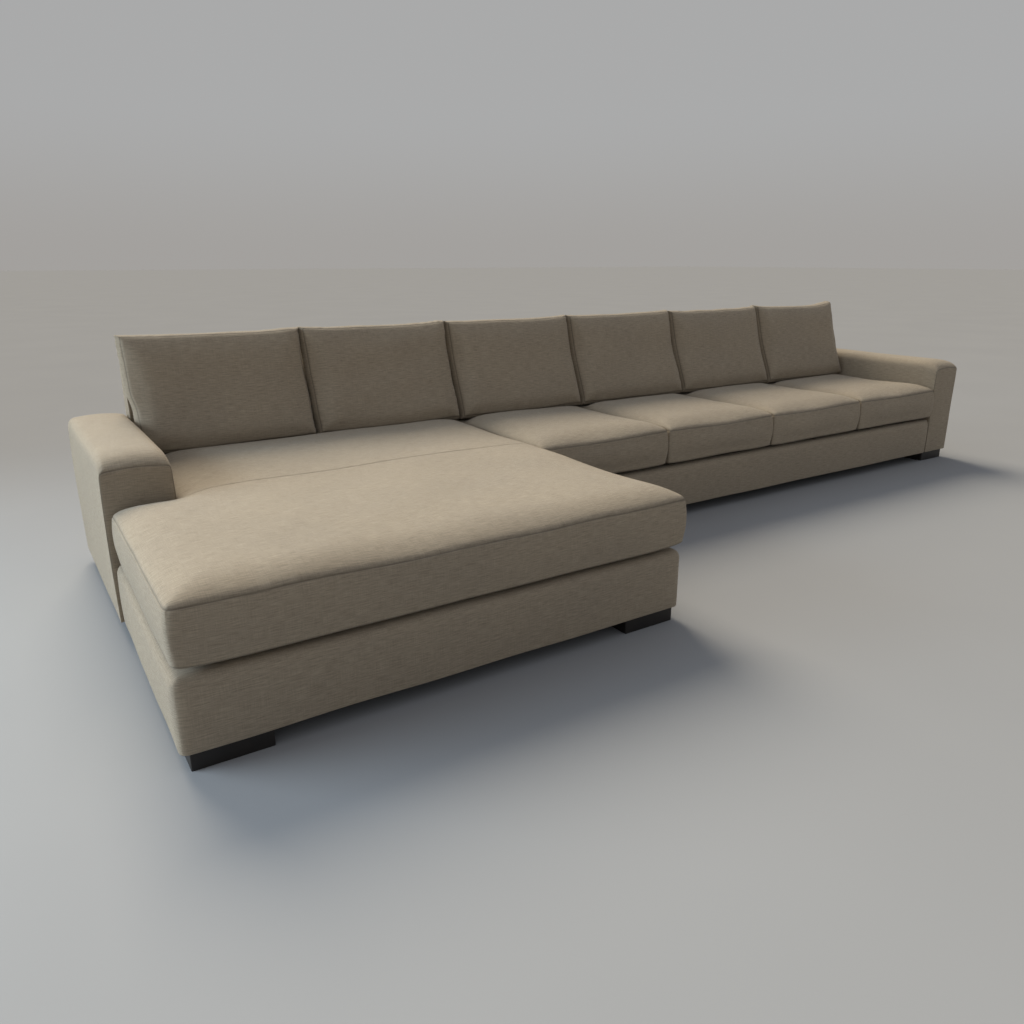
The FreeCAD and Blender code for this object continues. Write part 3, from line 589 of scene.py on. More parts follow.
# The simulation's strength and share, and how far the points may go sideways and past the solid
SEAT_PRESSURE, SEAT_CAP, SEAT_EASING = 0.9, 0.016, 14
PRESSED_HOLD = 0.9
BOTTOM_SHARE, UPPER_SHARE = 0.2, 0.8
EDGE_PLAY = 0.004
SLOT_PLAY = 0.0015
FRONT_PLAY = 0.008


def cushion_roll(t, steep=0.8):
    """A cushion's edge: steep at the seam, then a long soft roll."""
    t = np.clip(t, 0, 1)
    return (1 - (1 - t) ** ROLL_POWER) ** steep


def under_back(y):
    """How far a seat is pressed down by the back cushions on it."""
    return smooth((y - BACK_FRONT + PRESS_START) / PRESS_REACH)


def seat_lattice(low, high, toe, cross_seam):
    """The lattice and the plan's outline of a seat cushion, with or without a toe."""
    xs = lines(low.x, high.x, SEAT_STEP, CUSHION_GUARDS)
    ys = lines(low.y, high.y, SEAT_STEP, CUSHION_GUARDS)
    zs = lines(low.z, high.z, BOXING_STEP, CUSHION_GUARDS)
    if cross_seam:
        ys = with_line(ys, cross_seam)
    if not toe:
        return Soft(xs, ys, zs), [(low.x, low.y), (high.x, low.y), (high.x, high.y), (low.x, high.y)]
    seat_left, toe_rear = toe
    beside, near, far = CUSHION_GUARDS
    xs = with_exact(xs, *(seat_left + step for step in (-far, -near, 0, beside, near, far)))
    ys = with_exact(ys, *(toe_rear + step for step in (-beside, 0, near, far)))
    in_plan = (middles(xs)[:, None] > seat_left) | (middles(ys)[None, :] < toe_rear)
    soft = Soft(xs, ys, zs, np.repeat(in_plan[:, :, None], len(zs) - 1, axis=2))
    return soft, [(low.x, low.y), (high.x, low.y), (high.x, high.y), (seat_left, high.y),
                  (seat_left, toe_rear), (low.x, toe_rear)]


def seat_cushion(label, seed, toe=None, cross_seam=None, flare=0.0, rear_rise=0.0, corner_lift=0.006):
    """A box cushion with a crowned top, rolled edges and sewn seams; the chaise's also has a toe."""
    low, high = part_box(label + "_cover")
    soft, outline = seat_lattice(low, high, toe, cross_seam)
    x, y, z = soft.flat.T
    on_top = soft.index[:, 2] == soft.last[2]
    on_bottom = soft.index[:, 2] == 0
    inner = edge_distance(x, y, outline)
    left, rear = np.full(len(x), low.x), np.full(len(x), high.y)
    if toe:
        left = np.where(y > toe[1] + TOUCH, toe[0], low.x)
        rear = np.where(x < toe[0] - TOUCH, toe[1], high.y)
    from_left, from_right, from_front, from_rear = x - left, high.x - x, y - low.y, rear - y
    corner_gap = np.minimum(from_left, from_right) + np.minimum(from_front, from_rear)

    # Heights: a rolled, crowned top, a boxing between the seams and a flat bottom
    share = (z - low.z) / (high.z - low.z)
    ring_low = low.z + SEAT_LIFT + corner_lift * np.exp(-corner_gap / CORNER_FADE)
    ring_high = np.full(len(x), high.z - SEAT_DROP)
    if toe:
        ring_high -= TOE_DROP * np.exp(-np.hypot(from_left, from_rear) / CORNER_FADE)
    height = ring_low + share * (ring_high - ring_low)
    stretched = [(a + (a == high.x) - (a == low.x and not toe), b) for a, b in outline]
    rolled = np.minimum(edge_distance(x, y, stretched), SIDE_STEEP * from_right)
    if not toe:
        rolled = np.minimum(rolled, SIDE_STEEP * from_left)
    crown = SEAT_RISE * cushion_roll(rolled / SEAT_REACH, SEAT_STEEP)
    crown *= 1 - MIDDLE_SHARE + MIDDLE_SHARE * smooth(inner / MIDDLE_REACH)
    crown += rear_rise * smooth((y - (BACK_FRONT - RISE_START)) / RISE_LENGTH) * smooth(inner / RISE_EDGE)
    top_height = ring_high + crown + SEAT_WAVE * waver(soft.flat, SEAT_WAVE_LENGTH, seed)
    pressed = under_back(y)
    top_height += (np.minimum(top_height, high.z) - top_height) * pressed
    height = np.where(on_top, top_height, height)
    under = (1 - np.clip(inner / UNDER_REACH, 0, 1)) ** UNDER_POWER
    height = np.where(on_bottom, low.z + (ring_low - low.z) * under, height)

    # Plan: rounded corners, a boxing that swells and sides that pull in between the corners
    inset = SEAT_WAIST * (1 - smooth(share / WAIST_TOP))
    inset += TOP_INSET * smooth((share - TOP_START) / (1 - TOP_START))
    inset -= SEAT_SWELL * np.sin(math.pi * share)
    along_x = np.sin(math.pi * np.clip(from_left / (from_left + from_right), 0, 1))
    plan_x, plan_y = x.copy(), y.copy()
    corners = [(low.x, low.y, 1, 1), (high.x, low.y, -1, 1), (high.x, high.y, -1, -1)]
    corners += [(toe[0], high.y, 1, -1), (low.x, toe[1], 1, -1)] if toe else [(low.x, high.y, 1, -1)]
    for corner_x, corner_y, side_x, side_y in corners:
        a, b = (x - corner_x) * side_x, (y - corner_y) * side_y
        radius = TOE_ROUND if toe and corner_x == low.x else SEAT_CORNER
        at = (a < radius) & (b < radius) & (a > -TOUCH) & (b > -TOUCH)
        new_a, new_b = rounded_corner(a, b, radius)
        plan_x = np.where(at, corner_x + new_a * side_x, plan_x)
        plan_y = np.where(at, corner_y + new_b * side_y, plan_y)

    def near(distance):
        return 1 - smooth(distance / SIDE_REACH)

    plan_x += inset * (near(from_left) - near(from_right))
    plan_y += (inset + FRONT_DRAW * along_x) * near(from_front) - (inset + REAR_DRAW) * near(from_rear)
    soft.place = np.stack([plan_x, plan_y, height], axis=1)

    soft.seam[(inner < TOUCH) & (on_top | on_bottom)] = 1
    if cross_seam:
        soft.seam[on_top & (np.abs(y - cross_seam) < TOUCH)] = 1
    near_seam = np.exp(-(inner + (1 - share) * GATHER_FALL) / GATHER_REACH)
    soft.gather = np.where(on_top | (share > GATHER_END), near_seam, 0)
    soft.gather *= GATHER_LEVEL + np.exp(-corner_gap / SEAT_GATHER)
    soft.run = np.where(np.minimum(from_left, from_right) < np.minimum(from_front, from_rear), y, x)

    moved = inflated(soft, SEAT_PRESSURE, SEAT_CAP, SEAT_EASING)
    moved[:, :2] = np.clip(moved[:, :2], -EDGE_PLAY, EDGE_PLAY)
    moved[:, 2] *= 1 - PRESSED_HOLD * pressed
    soft.place += moved * np.where(on_bottom, BOTTOM_SHARE, UPPER_SHARE)[:, None]
    soft.place[:, 0] = np.clip(soft.place[:, 0], left - SLOT_PLAY, high.x + SLOT_PLAY)
    soft.place[:, 1] = np.clip(soft.place[:, 1], low.y - FRONT_PLAY, rear + SLOT_PLAY)
    soft.place[:, 2] = np.maximum(soft.place[:, 2], low.z)
    too_high = soft.place[:, 2] - np.minimum(soft.place[:, 2], high.z)
    soft.place[:, 2] -= too_high * pressed
    if toe:
        forward = np.clip((toe[1] - y) / (toe[1] - low.y), 0, 1)
        soft.place[:, 0] -= flare * forward * (1 - smooth((x - low.x) / TOE_REACH))
    soft.groove(SEAM_DEPTH)
    piece = subdivided(soft.object(label, upholstery))
    ripple(piece, seed, gathers=0.0010, slack=0.0010)
    finish_piece(piece, label, "upholstery", label + "_cover")


arm_low, arm_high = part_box("left_arm_top_pad")
toe_corner = (arm_high.x + TOE_SIDE_ROOM, arm_low.y - TOE_REAR_ROOM)
seat_cushion("chaise_cushion", 11, toe=toe_corner, cross_seam=arm_low.y - CROSS_SEAM, flare=TOE_FLARE,
             rear_rise=0.006, corner_lift=0.014)
for number in SEAT_CUSHIONS:
    seat_cushion(f"seat_cushion_{number}", 20 + number)


# Back cushions

BACK_STEP = 0.018

# Front to rear: the domes, the boxing between them and the sag of the lower front
FRONT_SETBACK = 0.002
FRONT_DOME, FRONT_REACH = 0.021, 0.16
DOME_FALL = 0.14
BOXING = 0.066
REAR_REACH = 0.10
FRONT_SAG, SAG_TOP = 0.020, 0.7

# The outline: drawn-in sides, a gap between the front seams, a dipped top, its tips and a rounded foot
DRAW_REACH = 0.10
SIDE_DRAW = 0.002
BACK_SWELL = 0.005
FRONT_GAP, GAP_SHARE = 0.007, 0.6
TOP_DIP, DIP_START = 0.004, 0.55
EAR_TIPS = ((0.5, 0.02, 0.10), (1.0, 0.98, 0.12))
FOOT_ROUND, FOOT_CORNER, FOOT_REACH = 0.022, 0.006, 0.12
BACK_GATHER, CORNER_GATHER, CORNER_REACH = 0.035, 1.2, 0.08

# The outer cushions' lap over the arms, and the room behind the cushions off the backs' top
OVER_ARM, OVER_START, OVER_REACH, OVER_FADE = 0.016, 0.02, 0.09, 0.3
REAR_ROOM, ROOM_START, ROOM_REACH = 0.016, 0.03, 0.12
BACK_PRESSURE, BACK_CAP, BACK_EASING = 1.0, 0.014, 6


def back_cushion(label, seed, ears):
    """A loose cushion with a narrow boxing, domed faces and drawn-in sides, leaning back."""
    low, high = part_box(label)
    front, rear = low.y, high.y - LEAN
    soft = Soft(lines(low.x, high.x, BACK_STEP, CUSHION_GUARDS), lines(front, rear, BACK_STEP, (SEAM_GUARD,)),
                lines(low.z, high.z, BACK_STEP, CUSHION_GUARDS))
    x, y, z = soft.flat.T
    width, height, depth = high.x - low.x, high.z - low.z, rear - front
    u, v, t = (x - low.x) / width, (z - low.z) / height, (y - front) / depth
    on_front = soft.index[:, 1] == 0
    on_rear = soft.index[:, 1] == soft.last[1]
    from_side, from_end = np.minimum(x - low.x, high.x - x), np.minimum(z - low.z, high.z - z)
    inner = np.minimum(from_side, from_end)
    corner_gap = from_side + from_end

    dome = roll(inner / FRONT_REACH) * (1 - DOME_FALL + DOME_FALL * np.sin(math.pi * u))
    new_y = front + FRONT_SETBACK + t * BOXING
    new_y = np.where(on_front, front + FRONT_SETBACK - FRONT_DOME * dome, new_y)
    rear_dome = (depth - FRONT_SETBACK - BOXING) * roll(inner / REAR_REACH)
    new_y = np.where(on_rear, front + FRONT_SETBACK + BOXING + rear_dome, new_y)

    def near(distance):
        return 1 - smooth(distance / DRAW_REACH)

    swell = BACK_SWELL * np.sin(math.pi * t)
    new_y -= FRONT_SAG * (1 - smooth(v / SAG_TOP)) * (1 - t)
    draw_in = SIDE_DRAW * np.sin(math.pi * v) - swell + FRONT_GAP * (1 - smooth(t / GAP_SHARE))
    new_x = x + draw_in * (near(x - low.x) - near(high.x - x))
    dip = TOP_DIP * np.sin(math.pi * u) - swell
    tips = ears * sum(share * np.exp(-((u - middle) / spread) ** 2) for share, middle, spread in EAR_TIPS)
    foot = FOOT_ROUND * np.abs(2 * t - 1) ** 1.5 + FOOT_CORNER * (1 - np.sin(math.pi * u))
    new_z = z - (dip - tips) * smooth((v - DIP_START) / (1 - DIP_START))
    new_z += foot * (1 - smooth((z - low.z) / FOOT_REACH))
    soft.place = np.stack([new_x, new_y, new_z], axis=1)

    soft.seam[(inner < TOUCH) & (on_front | on_rear)] = 1
    at_corner = CORNER_GATHER * np.exp(-corner_gap / CORNER_REACH)
    soft.gather = np.exp(-inner / BACK_GATHER) * (GATHER_LEVEL + at_corner)
    soft.run = np.where(from_side < from_end, z, x)
    moved = inflated(soft, BACK_PRESSURE, BACK_CAP, BACK_EASING)
    moved[:, ::2] = np.clip(moved[:, ::2], -EDGE_PLAY, EDGE_PLAY)
    soft.place += moved
    soft.place[:, 0] = np.clip(soft.place[:, 0], low.x - SLOT_PLAY, high.x + SLOT_PLAY)
    soft.place[:, 2] = np.maximum(soft.place[:, 2], low.z)
    free = OVER_ARM * smooth((soft.place[:, 2] - arm_high.z - OVER_START) / OVER_REACH)
    if label == "back_cushion_1":
        soft.place[:, 0] -= free * (1 - smooth((x - low.x) / OVER_FADE))
    if label == "back_cushion_6":
        soft.place[:, 0] += free * (1 - smooth((high.x - x) / OVER_FADE))
    room = REAR_ROOM * smooth((np.abs(soft.place[:, 2] - BACK_TOP) - ROOM_START) / ROOM_REACH)
    soft.place[:, 1] = np.minimum(soft.place[:, 1], rear + room)
    soft.groove(SEAM_DEPTH)
    soft.place[:, 1] += LEAN * (soft.place[:, 2] - low.z) / height
    piece = subdivided(soft.object(label + "_cover", upholstery))
    ripple(piece, seed, gathers=0.0010, slack=0.0018, slack_length=0.24)
    finish_piece(piece, label, "upholstery", label)


# How far the top corners stand up
EARS = {1: 0.002, 2: 0.003, 3: 0.003, 4: 0.004, 5: 0.005, 6: 0.014}
for number in BACK_CUSHIONS:
    back_cushion(f"back_cushion_{number}", 40 + number, EARS[number])


# Arms

ARM_STEP, ARM_LONG_STEP = 0.03, 0.035
ARM_CROWN, CROWN_LEVEL = 0.010, 0.6
ARM_UPPER = 0.16
FACING_ROUND = 0.4
FRONT_ROLL, FRONT_DROP = 0.110, 0.046
REAR_ROLL, REAR_DROP = 0.05, 0.030
ROLL_GUARD = 0.058
ARM_BELLY = FACING_PILLOW = 0.004
ARM_GATHER = 0.7


def arm_lattice(low, high, bottom, inwards, facing_bottom):
    """The arm's filled lattice: a box over the rails, the outer panel and the facings below."""
    outer = low.x if inwards > 0 else high.x
    inner_skin = outer + PAD * inwards
    front_skin, rear_skin = low.y + PAD, high.y - PAD
    end_guards = (*SKIN_GUARDS, ROLL_GUARD, FRONT_ROLL)
    xs = with_exact(lines(low.x, high.x, ARM_STEP, SKIN_GUARDS), inner_skin)
    ys = with_exact(lines(low.y, high.y, ARM_LONG_STEP, end_guards), front_skin, rear_skin)
    zs = with_exact(lines(bottom, high.z, ARM_LONG_STEP, SKIN_GUARDS), RAIL_TOP, facing_bottom)
    cx, cy, cz = np.meshgrid(middles(xs), middles(ys), middles(zs), indexing="ij")
    filled = (cz > RAIL_TOP) | ((cx - inner_skin) * inwards < 0) | (cy > rear_skin)
    if facing_bottom < RAIL_TOP:
        filled |= cy < front_skin
    return Soft(xs, ys, zs, filled)


def arm(side, inwards, facing_bottom, outer_round, inner_round, seed):
    """An upholstered arm: sides and padded top in one wrap, with a facing sewn on at each end."""
    low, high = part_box(side + "_arm_top_pad")
    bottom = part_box(side + "_arm_side_panels")[0].z
    soft = arm_lattice(low, high, bottom, inwards, facing_bottom)
    x, y, z = soft.flat.T
    down = high.z - z
    from_front, from_rear = y - low.y, high.y - y
    opened = FACING_ROUND + (1 - FACING_ROUND) * roll(np.minimum(from_front, from_rear) / FRONT_ROLL)
    left_round, right_round = (outer_round, inner_round)[::inwards]
    left_gap, left_down = rounded_corner(x - low.x, down, left_round * opened)
    right_gap, right_down = rounded_corner(high.x - x, down, right_round * opened)
    at_left = x - low.x < high.x - x
    new_x = np.where(at_left, low.x + left_gap, high.x - right_gap)
    new_z = high.z - np.where(at_left, left_down, right_down)
    across = np.sin(math.pi * (x - low.x) / (high.x - low.x))
    upper = smooth((z - (high.z - ARM_UPPER)) / ARM_UPPER)
    drop = FRONT_DROP * (1 - cushion_roll(from_front / FRONT_ROLL))
    drop += REAR_DROP * (1 - cushion_roll(from_rear / REAR_ROLL))
    new_z += (ARM_CROWN * (across - CROWN_LEVEL) - drop) * upper
    outside = np.minimum(x - low.x, high.x - x) < TOUCH
    belly = ARM_BELLY * np.sin(math.pi * np.clip((z - bottom) / (high.z - bottom), 0, 1))
    new_x += np.where(at_left, -belly, belly) * outside
    up_facing = np.clip((z - facing_bottom) / (high.z - facing_bottom), 0, 1)
    pillow = FACING_PILLOW * across * np.sin(math.pi * up_facing)
    new_y = y - np.where(from_front < TOUCH, pillow, 0) + np.where(from_rear < TOUCH, pillow, 0)
    soft.place = np.stack([new_x, new_y, new_z], axis=1)

    at_end = np.minimum(from_front, from_rear) < TOUCH
    soft.seam[(outside | (down < TOUCH)) & at_end & (z > min(facing_bottom, RAIL_TOP) - TOUCH)] = 1
    soft.gather = ARM_GATHER * np.exp(-np.minimum(from_front, from_rear) / GATHER_REACH) * upper
    soft.run = np.where(down < np.minimum(x - low.x, high.x - x), x, z)
    soft.groove(SEAM_DEPTH)
    piece = subdivided(soft.object(side + "_arm_cover", upholstery), 2)
    ripple(piece, seed, gathers=0.0008, slack=0.0014, slack_length=0.45)
    nodes = [f"{side}_arm_{part}" for part in ("side_panels", "top_pad", "facings")]
    finish_piece(piece, "chaise_section" if side == "left" else "sofa_section", "upholstery", *nodes)


DECK_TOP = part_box("chaise_deck")[1].z
FOOT_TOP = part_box("chaise_feet")[1].z
arm("left", 1, DECK_TOP, outer_round=0.034, inner_round=0.032, seed=60)
arm("right", -1, FOOT_TOP, outer_round=0.014, inner_round=0.046, seed=61)


# Base bands

BAND_STEP, BAND_UP_STEP = 0.045, 0.035
LIP = 0.055
LIP_PLAY, LIP_FADE = 0.003, 0.05
LIP_OVER_RAIL = 0.008
HEM = 0.002
BAND_ROUND = 0.032
BAND_CORNER = 0.026
BAND_BELLY = 0.0035
FLARE_REACH = 0.2
TUCK, TUCK_REACH = 0.008, 0.018


def band_lattice(low, high, runs):
    """The filled lattice of padded bands; each run is (axis, outer line, inward way, from, to)."""
    guards = (*SKIN_GUARDS[:2], BAND_ROUND)
    places = [lines(low.x, high.x, BAND_STEP, guards), lines(low.y, high.y, BAND_STEP, guards)]
    for axis, line, way, start, end in runs:
        places[axis] = with_exact(places[axis], line + way * PAD, line + way * LIP)
        places[1 - axis] = with_exact(places[1 - axis], start, end)
    lip_bottom = RAIL_TOP + LIP_OVER_RAIL
    zs = with_exact(lines(low.z, high.z, BAND_UP_STEP, guards), lip_bottom)
    zs[1] = low.z + HEM
    cx, cy, cz = np.meshgrid(middles(places[0]), middles(places[1]), middles(zs), indexing="ij")
    thick = np.where(cz > lip_bottom, LIP, PAD)
    filled = np.zeros(cx.shape, bool)
    for axis, line, way, start, end in runs:
        along, off = (cy, (cx - line) * way) if axis == 0 else (cx, (cy - line) * way)
        filled |= (off > 0) & (off < thick) & (along > start) & (along < end)
    return Soft(*places, zs, filled)


def base_band(name, section, runs, corners, nodes, seed, flare=0.0, tuck=None):
    """Padded bands round a base, with rolled top edges and rounded corners.

    The flare turns the left end outwards towards the front, and the tuck is an end that goes in beside an arm.
    """
    lows, highs = zip(*(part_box(n) for n in nodes))
    low = Vector([min(p[n] for p in lows) for n in range(3)])
    high = Vector([max(p[n] for p in highs) for n in range(3)])
    soft = band_lattice(low, high, runs)
    x, y, z = soft.flat.T
    new = soft.flat.copy()
    nearest = np.full(len(x), np.inf)
    belly = -BAND_BELLY * np.sin(math.pi * (z - low.z) / (high.z - low.z))
    for axis, line, way, start, end in runs:
        along, off = soft.flat[:, 1 - axis], (soft.flat[:, axis] - line) * way
        here = (along > start - TOUCH) & (along < end + TOUCH) & (off > -TOUCH) & (off < LIP + TOUCH)
        new_off, new_down = rounded_corner(off, high.z - z, BAND_ROUND)
        new[:, axis] = np.where(here, line + way * (new_off + belly * (off < TOUCH)), new[:, axis])
        closer = here & (off < nearest)
        new[:, 2] = np.where(closer, high.z - new_down, new[:, 2])
        nearest = np.where(closer, off, nearest)
    for corner_x, corner_y, side_x in corners:
        a, b = (new[:, 0] - corner_x) * side_x, new[:, 1] - corner_y
        at = (a < BAND_CORNER) & (b < BAND_CORNER)
        new_a, new_b = rounded_corner(np.maximum(a, 0), np.maximum(b, 0), BAND_CORNER)
        new[:, 0] = np.where(at, corner_x + new_a * side_x, new[:, 0])
        new[:, 1] = np.where(at, corner_y + new_b, new[:, 1])
    forward = np.clip((arm_low.y - y) / (arm_low.y - low.y), 0, 1)
    new[:, 0] -= flare * forward * (1 - smooth((x - low.x) / FLARE_REACH))
    new[:, 2] -= LIP_PLAY * smooth((z - (high.z - LIP_FADE)) / LIP_FADE)
    if tuck:
        new[:, 1] += np.where(y < low.y + TOUCH, TUCK * (1 - smooth((tuck - x) / TUCK_REACH)), 0)
    soft.place = new
    piece = subdivided(soft.object(name, upholstery))
    ripple(piece, seed, gathers=0.0, slack=0.0012, slack_length=0.35)
    finish_piece(piece, section, "upholstery", *nodes)


band_low, band_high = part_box("chaise_front_band")
side_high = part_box("chaise_side_bands")[1]
base_band("chaise_base_band", "chaise_section",
          ((0, band_low.x, 1, band_low.y, arm_low.y), (1, band_low.y, 1, band_low.x, band_high.x),
           (0, band_high.x, -1, band_low.y, side_high.y)),
          ((band_low.x, band_low.y, 1), (band_high.x, band_low.y, -1)),
          ("chaise_front_band", "chaise_side_bands"), 70, flare=TOE_FLARE)
sofa_low, sofa_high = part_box("sofa_front_band")
sofa_side_low, sofa_side_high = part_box("sofa_side_band")
base_band("sofa_base_band", "sofa_section",
          ((0, sofa_side_low.x, 1, sofa_low.y, sofa_side_high.y),
           (1, sofa_low.y, 1, sofa_low.x, sofa_high.x)),
          ((sofa_low.x, sofa_low.y, 1),),
          ("sofa_front_band", "sofa_side_band"), 71, tuck=sofa_high.x)


# Backs

BACK_ROUND, BACK_GUARD = 0.020, 0.008
BACK_LONG_STEP, BACK_DEPTH_STEP, BACK_UP_STEP = 0.05, 0.02, 0.045
BACK_TOP_DEPTH = 0.080
BACK_PUFF = 0.004
SKIN_PLAY = 0.005


def back(section, seams, seed):
    """A section's upholstered back: outside panel, top and inside pad in one wrap, with closed ends."""
    out_low, out_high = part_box(section + "_outside_back")
    in_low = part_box(section + "_inside_back")[0]
    frame_low, frame_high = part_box(section + "_back_frame")
    strap_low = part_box(section + "_back_webbing")[0]
    guards = (BACK_GUARD, BACK_ROUND)
    xs = with_line(lines(out_low.x, out_high.x, BACK_LONG_STEP, guards), *seams)
    ys = with_exact(lines(in_low.y, out_high.y, BACK_DEPTH_STEP, (BACK_GUARD,)), strap_low.y, frame_high.y,
                    out_high.y - BACK_ROUND)
    zs = with_exact(lines(out_low.z, out_high.z, BACK_UP_STEP, guards), frame_high.z, in_low.z)
    xs = with_exact(xs, frame_low.x, frame_high.x)
    cx, cy, cz = np.meshgrid(middles(xs), middles(ys), middles(zs), indexing="ij")
    outside = cy > frame_high.y
    inside = (cy < strap_low.y) & (cz > in_low.z)
    over = cz > frame_high.z
    ends = ((cx < frame_low.x) | (cx > frame_high.x)) & (cz > in_low.z)
    soft = Soft(xs, ys, zs, outside | inside | over | ends)
    x, y, z = soft.flat.T
    top_front = out_high.y - BACK_TOP_DEPTH
    share = np.clip((z - in_low.z) / (out_high.z - in_low.z), 0, 1)
    front_here = in_low.y + (top_front - in_low.y) * share
    t = np.clip((strap_low.y - y) / (strap_low.y - in_low.y), 0, 1)
    new_y = np.where(y < strap_low.y, strap_low.y + (front_here - strap_low.y) * t, y)
    new_z = z.copy()
    off_rear = out_high.y - new_y
    off_front = new_y - front_here
    down = out_high.z - z
    for offset, sign, base in ((off_rear, -1, out_high.y), (off_front, 1, front_here)):
        at = (offset < BACK_ROUND) & (down < BACK_ROUND)
        moved, lowered = rounded_corner(np.maximum(offset, 0), down, BACK_ROUND)
        new_y = np.where(at, base + sign * moved, new_y)
        new_z = np.where(at, out_high.z - lowered, new_z)
    puff = BACK_PUFF * np.sin(math.pi * np.clip((z - out_low.z) / (out_high.z - out_low.z), 0, 1))
    on_rear = soft.index[:, 1] == soft.last[1]
    new_y += np.where(on_rear, puff - BACK_PUFF, 0)
    soft.place = np.stack([x, new_y, new_z], axis=1)
    on_skin = (y > frame_high.y + SKIN_PLAY) | (z > frame_high.z + SKIN_PLAY) | (y < strap_low.y - SKIN_PLAY)
    for line in seams:
        soft.seam[(np.abs(x - line) < TOUCH) & on_skin] = 1
    soft.seam[on_rear & ((soft.index[:, 0] == 0) | (soft.index[:, 0] == soft.last[0]))] = 1
    soft.groove(SEAM_DEPTH)
    piece = subdivided(soft.object(section + "_back_cover", upholstery))
    ripple(piece, seed, gathers=0.0, slack=0.0014, slack_length=0.4)
    nodes = [section + "_outside_back", section + "_inside_back"]
    finish_piece(piece, section + "_section", "upholstery", *nodes)


back_low, back_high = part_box("chaise_outside_back")
back("chaise", [(back_low.x + back_high.x) / 2], 80)
back_low, back_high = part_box("sofa_outside_back")
third = (back_high.x - back_low.x) / 3
back("sofa", [back_low.x + third, back_low.x + 2 * third], 81)


# Platform decks and dust covers

LINING_STEP = 0.06
DECK_GUARD, DECK_UP_STEP, DECK_PLAY = 0.006, 0.02, 0.001
DECK_DROP, DECK_REACH = 0.004, 0.25
DECK_WAVE, DECK_WAVE_LENGTH = 0.0012, 0.4
DUST_GUARD, DUST_PLAY = 0.01, 0.0002
DUST_SAG, DUST_REACH, DUST_UNEVEN, DUST_WAVE_LENGTH = 0.004, 0.3, 0.3, 0.5


def deck(section, keep, toe=None):
    """The padded platform under the seat cushions, between the bands' lips."""
    low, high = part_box(section + "_deck")
    start_x, end_x, start_y = keep
    xs = lines(start_x, end_x, LINING_STEP, (DECK_GUARD,))
    ys = lines(start_y, high.y, LINING_STEP, (DECK_GUARD,))
    zs = lines(low.z, high.z, DECK_UP_STEP, (DECK_GUARD,))
    filled = None
    if toe:
        xs, ys = with_exact(xs, toe[0]), with_exact(ys, toe[1])
        in_plan = (middles(xs)[:, None] > toe[0]) | (middles(ys)[None, :] < toe[1])
        filled = np.repeat(in_plan[:, :, None], len(zs) - 1, axis=2)
    soft = Soft(xs, ys, zs, filled)
    x, y = soft.flat.T[:2]
    edge = np.minimum(np.minimum(x - start_x, end_x - x), np.minimum(y - start_y, high.y - y))
    on_top = soft.index[:, 2] == soft.last[2]
    drop = DECK_DROP * (1 - roll(edge / DECK_REACH))
    drop += DECK_WAVE * (1 + waver(soft.flat, DECK_WAVE_LENGTH, 90)) / 2
    soft.place[:, 2] -= np.where(on_top, drop, 0)
    piece = subdivided(soft.object(section + "_deck_pad", platform_cloth))
    finish_piece(piece, section + "_section", "lining_cloth", section + "_deck")


deck("chaise", (band_low.x + LIP + DECK_PLAY, band_high.x - LIP - DECK_PLAY, band_low.y + LIP + DECK_PLAY),
     toe=(arm_high.x, arm_low.y + PAD))
deck("sofa", (sofa_low.x + LIP + DECK_PLAY, sofa_high.x, sofa_low.y + LIP + DECK_PLAY))


def dust_cover(section):
    """The lining under the base: a thin felt, stapled round its edge and slightly slack between."""
    low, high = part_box(section + "_dust_cover")
    xs = lines(low.x, high.x, LINING_STEP, (DUST_GUARD,))
    ys = lines(low.y, high.y, LINING_STEP, (DUST_GUARD,))
    soft = Soft(xs, ys, np.array([low.z + DUST_PLAY, high.z - DUST_PLAY]))
    x, y = soft.flat.T[:2]
    edge = np.minimum(np.minimum(x - low.x, high.x - x), np.minimum(y - low.y, high.y - y))
    uneven = 1 - DUST_UNEVEN + DUST_UNEVEN * waver(soft.flat, DUST_WAVE_LENGTH, 95)
    sag = DUST_SAG * smooth(edge / DUST_REACH) * uneven
    soft.place[:, 2] -= np.maximum(sag, 0)
    piece = subdivided(soft.object(section + "_dust_sheet", dust_felt))
    finish_piece(piece, section + "_section", "lining_cloth", section + "_dust_cover")


for section in ("chaise", "sofa"):
    dust_cover(section)


# Floor, light and camera

FLOOR_HALF = 120.0
floor_mesh = bpy.data.meshes.new("floor")
floor_mesh.from_pydata([(-FLOOR_HALF, -FLOOR_HALF, 0), (FLOOR_HALF, -FLOOR_HALF, 0),
                        (FLOOR_HALF, FLOOR_HALF, 0), (-FLOOR_HALF, FLOOR_HALF, 0)], [], [(0, 1, 2, 3)])
floor = bpy.data.objects.new("floor", floor_mesh)
bpy.context.scene.collection.objects.link(floor)
floor_look = Graph("pale_floor")
floor_place = floor_look.add("TexCoord", {}, 3)
floor_cloud = floor_look.noise(floor_place, grey(0.8), 3.0, 0.5)
floor_grey = floor_look.ramp(floor_cloud, (0.3, (0.300, 0.307, 0.321)), (0.7, (0.310, 0.317, 0.331)))
floor_look.shade(Base_Color=floor_grey, Roughness=0.6, Specular_IOR_Level=0.0)
floor_mesh.materials.append(floor_look.material)


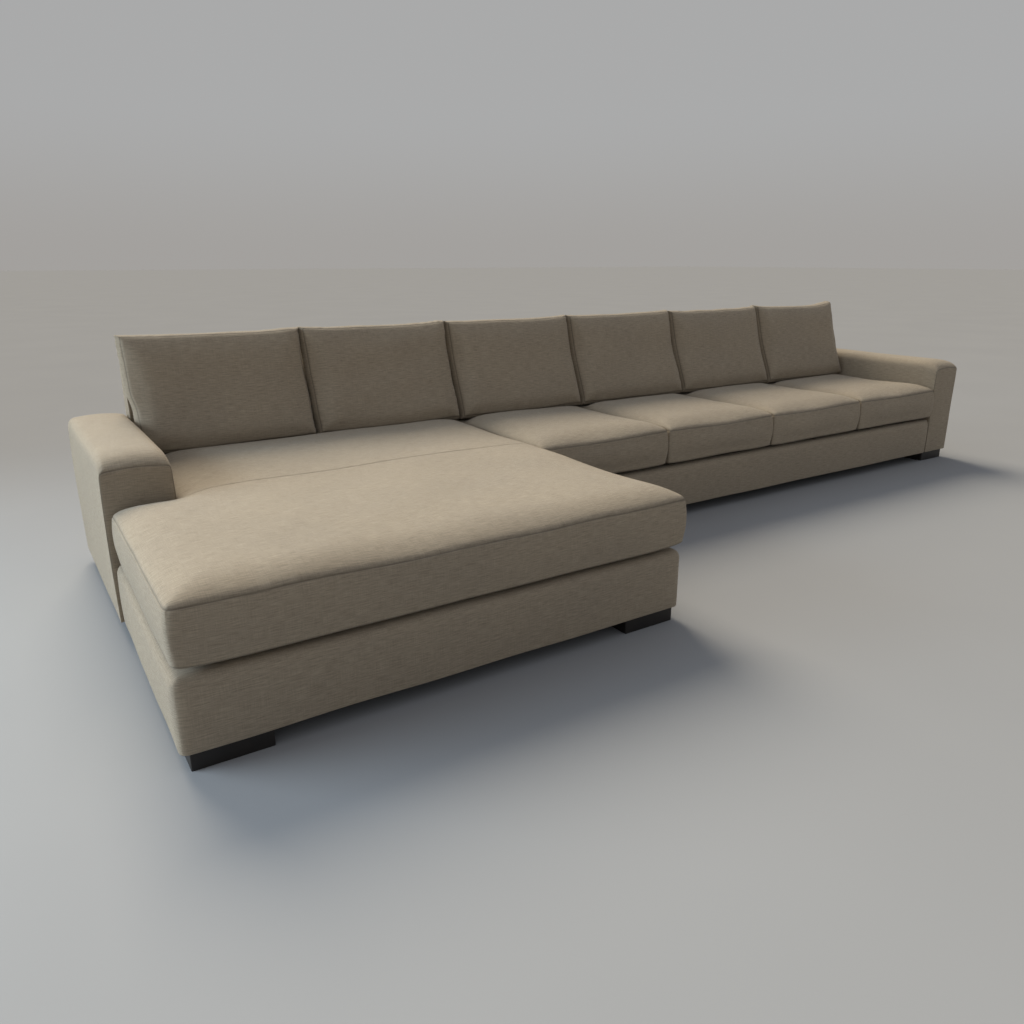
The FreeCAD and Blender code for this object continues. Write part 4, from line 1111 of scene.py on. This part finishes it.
def lamp(name, place, target, size, energy, colour, spread):
    """A soft rectangular lamp that the camera doesn't see."""
    data = bpy.data.lights.new(name, "AREA")
    data.shape = "RECTANGLE"
    data.size, data.size_y = size
    data.energy = energy
    data.color = colour
    data.spread = math.radians(spread)
    made = bpy.data.objects.new(name, data)
    made.location = place
    made.rotation_euler = (Vector(target) - Vector(place)).to_track_quat("-Z", "Y").to_euler()
    made.visible_camera = False
    bpy.context.scene.collection.objects.link(made)


lamp("left_window", place=(-7.4, 1.4, 2.2), target=(-3.0, -1.0, 0.1), size=(4.4, 2.8), energy=104,
     colour=(0.76, 0.90, 1.0), spread=80)
rear_light = bpy.data.lights.new("rear_light", "SUN")
rear_light.energy = 3.7
rear_light.angle = math.radians(32)
rear_light.color = (1.0, 0.893, 0.712)
rear_lamp = bpy.data.objects.new("rear_light", rear_light)
rear_lamp.rotation_euler = (math.radians(-49), 0, math.radians(-3))
bpy.context.scene.collection.objects.link(rear_lamp)

# An even sky, by height, that meets the floor's far end softly
SKY = ((0.0, (0.367, 0.354, 0.340)), (0.16, (0.400, 0.402, 0.403)), (0.28, (0.400, 0.402, 0.403)),
       (0.75, (0.396, 0.406, 0.430)))
world = bpy.data.worlds.new("studio")
bpy.context.scene.world = world
world.use_nodes = True
sky = world.node_tree
direction = sky.nodes.new("ShaderNodeTexCoord")
upward = sky.nodes.new("ShaderNodeSeparateXYZ")
fade = sky.nodes.new("ShaderNodeValToRGB")
sky.links.new(direction.outputs["Generated"], upward.inputs[0])
sky.links.new(upward.outputs["Z"], fade.inputs[0])
sky.links.new(fade.outputs[0], sky.nodes["Background"].inputs["Color"])
fade.color_ramp.interpolation = "EASE"
for _ in SKY[2:]:
    fade.color_ramp.elements.new(0.5)
for element, (position, colour) in zip(fade.color_ramp.elements, SKY):
    element.position = position
    element.color = (*colour, 1)
bpy.context.scene.view_settings.view_transform = "Standard"

CAMERA_PLACE = Vector((-2.865, -2.9613, 1.3003))
CAMERA_YAW = math.radians(33.2476)
CAMERA_PITCH = math.radians(-17.3806)
camera_data = bpy.data.cameras.new("camera")
camera_data.lens = 28.327
camera_data.sensor_width = 36.0
camera_data.shift_x = -0.0031
camera = bpy.data.objects.new("camera", camera_data)
camera.location = CAMERA_PLACE
camera.rotation_euler = (math.pi / 2 + CAMERA_PITCH, 0, -CAMERA_YAW)
bpy.context.scene.collection.objects.link(camera)
bpy.context.scene.camera = camera
